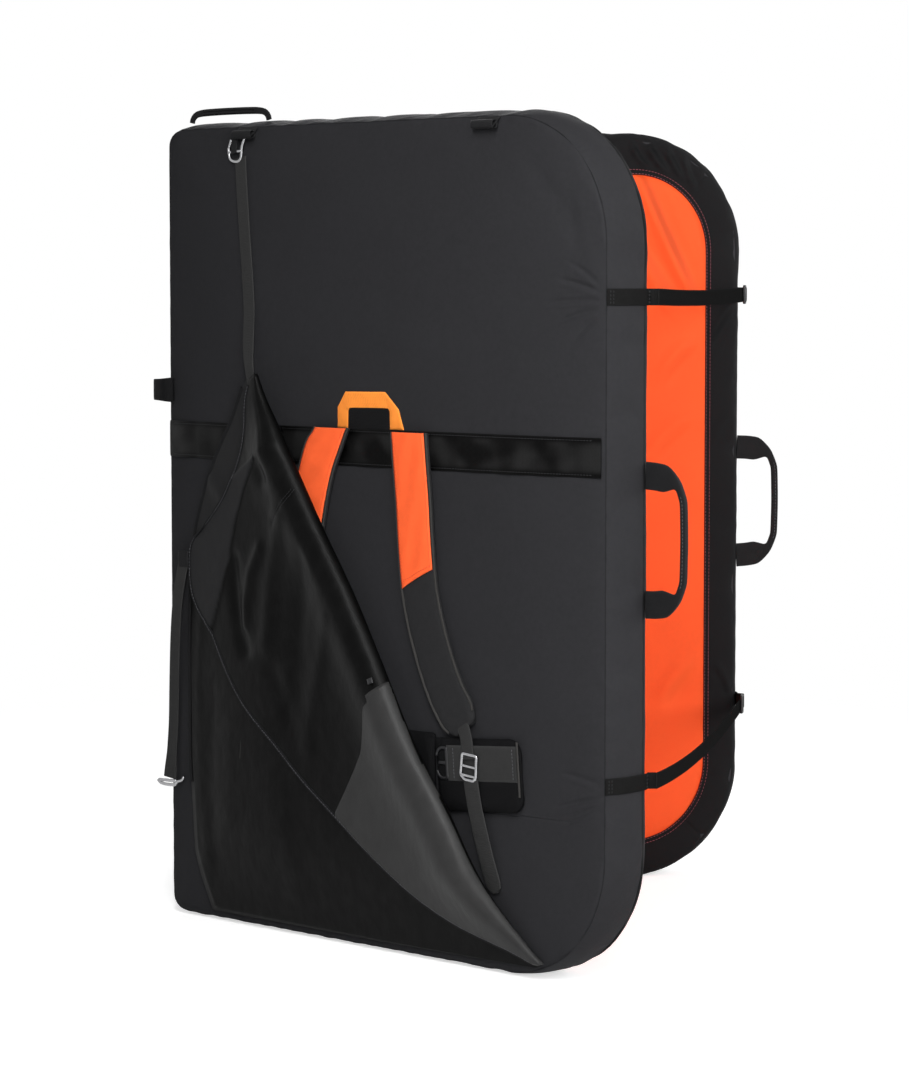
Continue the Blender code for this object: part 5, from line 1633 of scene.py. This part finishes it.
FLAP_ROWS, UNDER_COLUMNS, ROLL_COLUMNS, OVER_COLUMNS, WRAP_COLUMNS = 200, 44, 17, 84, 10
EDGE_LIFT, STACK_LIFT, HEM_GAP = 0.0030, 0.0165, 0.0055
FACING_RISE = 0.0026

# A slump above 1 lets the crease hang low, so that a broad slope faces outward.
ROLL_REACH, ROLL_RISE, ROLL_LENGTH, ROLL_SLUMP = 0.0280, 0.0135, 0.042, 1.8


def flap_lift(flat):
    """How far the under layer stands off the face: low at its sewn edges, high over the harness."""
    side = ease((flat[..., 0] - SPINE_X - PAD_WIDTH * 0.060) / 0.190)
    return EDGE_LIFT + (STACK_LIFT - EDGE_LIFT) * side * ease((flat[..., 1] - LOW_SEAM) / 0.150)


def away_from(flat, shares):
    """How far places are from a line that is given as shares."""
    line = np.array([at(*share) for share in shares])
    least = np.full(flat.shape[:-1], 9.0)
    for a, b in zip(line, line[1:]):
        t = np.clip((flat - a) @ (b - a) / ((b - a) @ (b - a)), 0, 1)
        least = np.minimum(least, np.linalg.norm(flat - a - t[..., None] * (b - a), axis=-1))
    return least


def folded(flat, folds):
    """The height of folds at places, each a line with its height and its spread."""
    return sum(height * np.exp(-(away_from(flat, line) / spread) ** 2) for line, height, spread in folds)


def even(shares, curve):
    """A line through places given as shares, as x and z at equal steps, one for each row of the flap."""
    fine = (smooth if curve else resample)(at_all(shares), 0.002)
    marks = np.linspace(0, len(fine) - 1, FLAP_ROWS)
    return np.stack([np.interp(marks, np.arange(len(fine)), fine[:, k]) for k in range(2)], -1)


def crossing(start, end, shares):
    """The share of the way from a start to an end at which a line is crossed, or 2 where it isn't."""
    line = np.array([at(*share) for share in shares])
    found = 2.0
    for a, b in zip(line, line[1:]):
        rows = np.array([end - start, a - b]).T
        if abs(np.linalg.det(rows)) > 1e-9:
            t, s = np.linalg.solve(rows, a - start)
            if 0 <= t <= 1 and 0 <= s <= 1:
                found = min(found, t)
    return found


# %% The flap's grid
def flap_grid():
    """The flap's points and its lining mask: the under layer, the roll and the over layer of each row."""
    under, crease, hem = even(FLAP_UNDER, False), even(FLAP_CREASE, True), even(FLAP_HEM, True)
    away = (crease - under) / np.linalg.norm(crease - under, axis=1, keepdims=True)
    span = np.linalg.norm(crease - hem, axis=1)
    reach = np.minimum(ROLL_REACH, 0.22 * span)[:, None, None]
    rise = np.minimum(ROLL_RISE, 0.0014 + 0.11 * span)[:, None]
    least = np.minimum(HEM_GAP, 0.0012 + 0.04 * span)[:, None]
    start = crease - away * reach[:, 0]
    t = np.linspace(0, 1, UNDER_COLUMNS, endpoint=False)[None, :, None]
    below = under[:, None] + (start - under)[:, None] * t
    angle = np.linspace(0, np.pi, ROLL_COLUMNS)[None, :, None]
    turn = start[:, None] + away[:, None] * reach * np.sin(angle)
    t = (np.linspace(0, 1, OVER_COLUMNS + 1)[1:] ** 1.25)[None, :, None]
    over = start[:, None] + (hem - start)[:, None] * t
    run = np.linalg.norm(over - start[:, None], axis=-1)
    edges = np.array([crossing(a, b, FACING_EDGE) for a, b in zip(start, hem)])
    on_facing = ease((t[..., 0] - edges[:, None]) * span[:, None] / 0.004)
    gap = least + (2 * rise - least) / (1 + (run / ROLL_LENGTH) ** 2)
    gap += FACING_RISE * on_facing * np.minimum(span[:, None] / 0.08, 1)
    gap += folded(over, OVER_FOLDS) * ease(run / 0.020)
    roll = 2 * rise * (0.5 - 0.5 * np.cos(angle[..., 0])) ** ROLL_SLUMP
    height = np.concatenate([folded(below, UNDER_FOLDS), roll, gap], 1)
    roll_base = np.repeat(flap_lift(start)[:, None], ROLL_COLUMNS, 1)
    base = np.concatenate([flap_lift(below), roll_base, flap_lift(over)], 1)
    flat = np.concatenate([below, turn, over], 1)
    depth = face_y(flat[..., 0], flat[..., 1]) - base - height
    wing = ease((below[..., 1] - at(0, 0.485)[1]) / 0.020)
    lining = np.concatenate([wing * 0.75, np.zeros(turn.shape[:2]), on_facing], 1)
    return np.stack([flat[..., 0], depth, flat[..., 1]], -1), lining


flap_points, flap_lining = flap_grid()
FLAP_COLUMNS = flap_points.shape[1]
FIRST_OVER = UNDER_COLUMNS + ROLL_COLUMNS
print("flap:", FLAP_ROWS, "rows of", FLAP_COLUMNS, "points")


def on_flap(shares, step, lift):
    """A line over the flap's upper layer, as points a little above it."""
    flat = resample(at_all(shares), step)
    over = flap_points[:, FIRST_OVER:].reshape(-1, 3)
    out = []
    for x, z, _ in flat:
        nearest = over[np.argsort((over[:, 0] - x) ** 2 + (over[:, 2] - z) ** 2)[:6]]
        out.append(Vector((x, float(nearest[:, 1].mean()) - lift, z)))
    return out


# %% The flap and its parts
INSET_COLUMNS = 60


def inset_rows():
    """The part of the over layer that the inset covers, as rows cut at its edge."""
    rows = []
    for line in flap_points[:, FIRST_OVER - WRAP_COLUMNS:]:
        flat, places = line[:, [0, 2]], np.arange(len(line))
        share = crossing(flat[0], flat[-1], PANEL_EDGE)
        if share > 1 and flat[0, 1] >= at(0, 0.318)[1]:
            continue
        runs = np.concatenate([[0], np.cumsum(np.linalg.norm(np.diff(line, axis=0), axis=1))])
        last = len(line) - 1
        if share < 1:
            straight = np.linalg.norm(flat - flat[0], axis=1)
            last = np.interp(share * straight[-1], straight[WRAP_COLUMNS:], places[WRAP_COLUMNS:])
        marks = np.interp(np.linspace(0, np.interp(last, places, runs), INSET_COLUMNS), runs, places)
        rows.append(np.stack([np.interp(marks, places, line[:, k]) for k in range(3)], -1))
    return np.array(rows)


def add_flap():
    """The sheet, and the inset that is sewn on its upper layer."""
    faces = quads(numbered(FLAP_ROWS, FLAP_COLUMNS))
    flap = add_piece("flap_cloth", flap_points.reshape(-1, 3), as_tuples(faces), "flap_coated", "flap",
                     ["flap_sheet"], {"lining": flap_lining.reshape(-1)})
    thicken(flap, 0.0012)
    panel = inset_rows()
    points, faces = panel.reshape(-1, 3), quads(numbered(*panel.shape[:2]))
    normals = point_normals(points, faces)
    normals *= np.sign(-normals[:, 1:2] - 0.05)
    inset = add_piece("flap_inset", points + normals * 0.0012, as_tuples(faces), "flap_matte", "flap",
                      ["flap_panel"])
    thicken(inset, 0.0009)


def trim_flap():
    """A binding along each free edge, rows of stitches, and the toggle where the inset begins."""
    for name, column, last in (("hem", -1, FLAP_ROWS), ("side", 0, round(FLAP_ROWS * 0.44))):
        edge = smooth([Vector(p) + OUTWARD * 0.0004 for p in flap_points[2:last:2, column]], 0.005)
        add_strap(f"flap_{name}_binding", edge, Vector((1, 0, 0.7)).normalized(), 0.0060, 0.0024,
                  "binding_black", "flap", corners=12)
        if name == "hem":
            row = [Vector(p) + OUTWARD * 0.0014 for p in edge]
            stitches("flap_hem_stitches", [row], "thread_grey", "flap")
    rows = [on_flap([(u + d, v) for u, v in FLAP_SEAM[1:]], 0.004, 0.0008) for d in (-0.004, 0.004)]
    stitches("flap_seam_stitches", rows, "thread_black", "flap")
    place = on_flap(((0.558, 0.337), (0.561, 0.331)), 0.004, 0.0022)
    add_strap("flap_toggle", [place[0], place[-1]], ACROSS, 0.0100, 0.0040, "plastic_black", "flap",
              corners=14, power=0.7)


# The binding's dark colour stands in part for the shade along the flap's hem.
FINISHES["binding_black"] = woven("binding_black", (27, 27, 28), 0.60, 0.04, 0.14)
SLOTS["binding_black"] = "web_black"
add_flap()
trim_flap()


# %% [markdown]
# The flap is held up by a strap from its tip, with a hook in one of the rolled loops. A second strap hangs
# loose from its left corner. The hooks are bent from flat steel bar, so each is drawn as a few lines, and a
# bar with rounded edges is carried along every one of them.

# %% Hooks and their straps
TOP_STRAP = ((0.2430, 0.682), (0.2365, 0.700), (0.2290, 0.733), (0.2205, 0.815), (0.2095, 0.895),
             (0.1960, 0.962))
TOP_STRAP_END = ((0.1830, 0.967), (0.1810, 0.982), (0.1790, 0.989))
TOP_HOOK = (
    (0.0038, ((0.2140, 0.994), (0.2080, 0.986), (0.2010, 0.975), (0.1990, 0.963), (0.1930, 0.9575),
              (0.1800, 0.9575), (0.1710, 0.962), (0.1680, 0.974))),
    (0.0036, ((0.1700, 0.9685), (0.1990, 0.9700))),
    (0.0036, ((0.1690, 0.974), (0.1750, 0.984))))
CORNER_STRAP = ((0.060, 0.449), (0.044, 0.405), (0.031, 0.350), (0.021, 0.290), (0.015, 0.235),
                (0.006, 0.172))
CORNER_HOOK = (
    (0.0050, ((-0.0230, 0.1675), (-0.0150, 0.1640), (0.0030, 0.1630), (0.0200, 0.1640), (0.0260, 0.1680))),
    (0.0046, ((-0.0190, 0.1680), (0.0250, 0.1690))),
    (0.0036, ((0.0250, 0.1680), (0.0390, 0.171), (0.0440, 0.1755))))


def bent_bars(name, node, body, depth, lines):
    """A metal fitting bent from flat bars that follow lines given as shares, all at one depth."""
    parts = []
    for width, shares in lines:
        path = [Vector((x, depth, z)) for x, z in (at(*share) for share in shares)]
        parts.append(bar(smooth(path, 0.0015), width, 0.0036))
    add_piece(name, *joined(parts), "metal", body, [node])


def top_strap():
    """Webbing from the flap's tip up to a hook, which hangs in the top seam's loop."""
    path = face_path(TOP_STRAP, 0.0048)
    path = [p + OUTWARD * 0.0105 * ease(1 - k / 20) for k, p in enumerate(path)]
    width = 0.0150 + 0.0065 * ease(np.linspace(0, 5, len(path)))
    add_strap("flap_top_webbing", path, face_across(path), width, 0.0018, "web_strap", "flap",
              ["flap_top_strap"])
    path = face_path(TOP_STRAP_END, 0.0075, 0.004)
    add_strap("flap_top_webbing_end", path, face_across(path), 0.0120, 0.0030, "web_black", "flap")
    low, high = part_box("flap_top_hook")
    depth = (low.y + high.y) / 2 - 0.0012
    bent_bars("flap_top_bar_hook", "flap_top_hook", "flap", depth, TOP_HOOK)


def corner_strap():
    """A tab at the flap's corner, and the strap that hangs from it with a hook at its end."""
    low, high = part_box("flap_corner_tab")
    x, y = (low.x + high.x) / 2, (low.y + high.y) / 2
    path = [Vector((x, y, z)) for z in np.linspace(high.z, low.z, 8)]
    add_strap("flap_corner_webbing", path, ACROSS, high.x - low.x, 0.0032, "web_black", "flap",
              ["flap_corner_tab"])
    flat = smooth(at_all(CORNER_STRAP), 0.006)
    path = [Vector((p[0], y + 0.0125 * ease(k / len(flat) * 1.3), p[1])) for k, p in enumerate(flat)]
    width = 0.0195 + 0.0060 * ease(np.linspace(-6, 1, len(path)))
    add_strap("corner_strap_webbing", path, ACROSS, width, 0.0018, "web_strap", "corner_strap",
              ["flap_corner_strap"])
    low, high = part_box("flap_corner_hook")
    depth = (low.y + high.y) / 2 + 0.0110
    bent_bars("corner_bar_hook", "flap_corner_hook", "corner_strap", depth, CORNER_HOOK)


top_strap()
corner_strap()
print("flap, its straps and hooks")

# %% [markdown]
# ## What is left of the working model
#
# The foam layers inside the covers are plain blocks, on the real mat too. They stay as they are and only
# get a finish.

# %% Finishes for the CAD nodes
slot_of = {part["node"]: part["material_slot"] for part in frame["record"]["subparts"]}
kept = []
for node, solid in frame["nodes"].items():
    if solid.hide_render:
        continue
    solid.data.materials.clear()
    solid.data.materials.append(FINISHES[slot_of[node]])
    kept.append(node)
print("kept from the working model:", *kept)

# %% [markdown]
# ## Floor, background and light
#
# The photograph has a white background with a faint shadow under the mat. A white floor lit to pure white
# would also throw a lot of light back on the mat. So the floor is a pale diffuse surface that takes the
# shadow, and only for the camera and for reflections a glow is added that brings it up to white. Further
# out the glow takes over completely. The world is white for the same rays, and a plain grey for the light
# that it gives.

# %% Floor
FLOOR_REACH = 40.0
NEAR_GLOW = 0.60
GLOW_EDGES = (1.0, 2.6)


def glow_rays(tree):
    """1 for rays from the camera, reflections and clear things, and 0 for light on the object."""
    path = tree.nodes.new("ShaderNodeLightPath")
    total = path.outputs["Is Camera Ray"]
    for kind in ("Is Glossy Ray", "Is Transmission Ray"):
        most = tree.nodes.new("ShaderNodeMath")
        most.operation = "MAXIMUM"
        tree.links.new(total, most.inputs[0])
        tree.links.new(path.outputs[kind], most.inputs[1])
        total = most.outputs[0]
    return total


def make_floor():
    """A pale sheet that takes the shadow, with a glow that only the camera and reflections see."""
    size = FLOOR_REACH
    corners = [(-size, -size, 0), (size, -size, 0), (size, size, 0), (-size, size, 0)]
    floor = new_object("floor", corners, [(0, 1, 2, 3)])
    floor.location.z = -0.0005
    paint = Finish("floor")
    _, (x, y, _) = paint.place()
    away = (x.math("POWER", 2.0) + (y - 0.15).math("POWER", 2.0)).math("SQRT").step(*GLOW_EDGES)
    seen = Socket(paint, glow_rays(paint.tree))
    near = paint.node("ShaderNodeBsdfDiffuse", {}, {"Color": (0.80, 0.80, 0.80, 1)})
    glow = paint.node("ShaderNodeEmission", {}, {"Color": (1, 1, 1, 1), "Strength": seen * NEAR_GLOW})
    lit = paint.node("ShaderNodeAddShader", {}, {0: near, 1: glow})
    far = paint.node("ShaderNodeEmission", {}, {"Color": (1, 1, 1, 1), "Strength": seen})
    both = paint.node("ShaderNodeMixShader", {}, {0: away, 1: lit, 2: far})
    paint.tree.links.new(both.socket, paint.tree.nodes["Material Output"].inputs["Surface"])
    floor.data.materials.append(paint.material)


make_floor()

# %% [markdown]
# A black mat shows its form only where light grazes it. The key lamp stands to the right, above and in
# front, and catches the folds of the flap and the straps' edges, while the fill opens their shadows. The
# side lamp reaches the orange panel and the walls of the opening, and the others are for the top and the
# far sides. All are wide soft boxes, because a small lamp would leave hard shadows.

# %% World and lamps
WORLD_LIGHT = 0.08
world = bpy.data.worlds.new("studio")
bpy.context.scene.world = world
world.use_nodes = True
background = world.node_tree.nodes["Background"]
white = world.node_tree.nodes.new("ShaderNodeBackground")
white.inputs["Color"].default_value = (1, 1, 1, 1)
background.inputs["Color"].default_value = (1, 1, 1, 1)
background.inputs["Strength"].default_value = WORLD_LIGHT
chosen = world.node_tree.nodes.new("ShaderNodeMixShader")
world.node_tree.links.new(glow_rays(world.node_tree), chosen.inputs[0])
world.node_tree.links.new(background.outputs[0], chosen.inputs[1])
world.node_tree.links.new(white.outputs[0], chosen.inputs[2])
world.node_tree.links.new(chosen.outputs[0], world.node_tree.nodes["World Output"].inputs["Surface"])


def softbox(name, place, target, size, power):
    """A large soft lamp that faces a point."""
    lamp = bpy.data.lights.new(name, "AREA")
    lamp.shape, lamp.size, lamp.size_y, lamp.energy = "RECTANGLE", *size, power
    box = bpy.data.objects.new(name, lamp)
    box.location = place
    box.visible_camera = False
    box.rotation_euler = (Vector(target) - Vector(place)).to_track_quat("-Z", "Y").to_euler()
    bpy.context.scene.collection.objects.link(box)


LAMPS = {
    "key": ((1.02, -1.36, 1.9), (0.1, 0.0, 0.45), (0.25, 1.4), 30),
    "fill": ((1.20, -0.92, 0.9), (0.2, 0.0, 0.50), (0.9, 1.6), 16),
    "side": ((2.8, 0.5, 1.1), (0.2, 0.2, 0.6), (1.2, 1.6), 36),
    "top": ((0.6, 0.5, 3.4), (0.0, 0.1, 0.8), (1.2, 1.2), 5),
    "back": ((-2.4, 2.6, 2.0), (-0.2, 0.3, 0.6), (1.6, 1.6), 46),
    "inner": ((1.3, 3.0, 1.6), (0.0, 0.2, 0.6), (1.4, 1.4), 44),
}
for name, settings in LAMPS.items():
    softbox(name, *settings)
print("lamps:", *LAMPS)
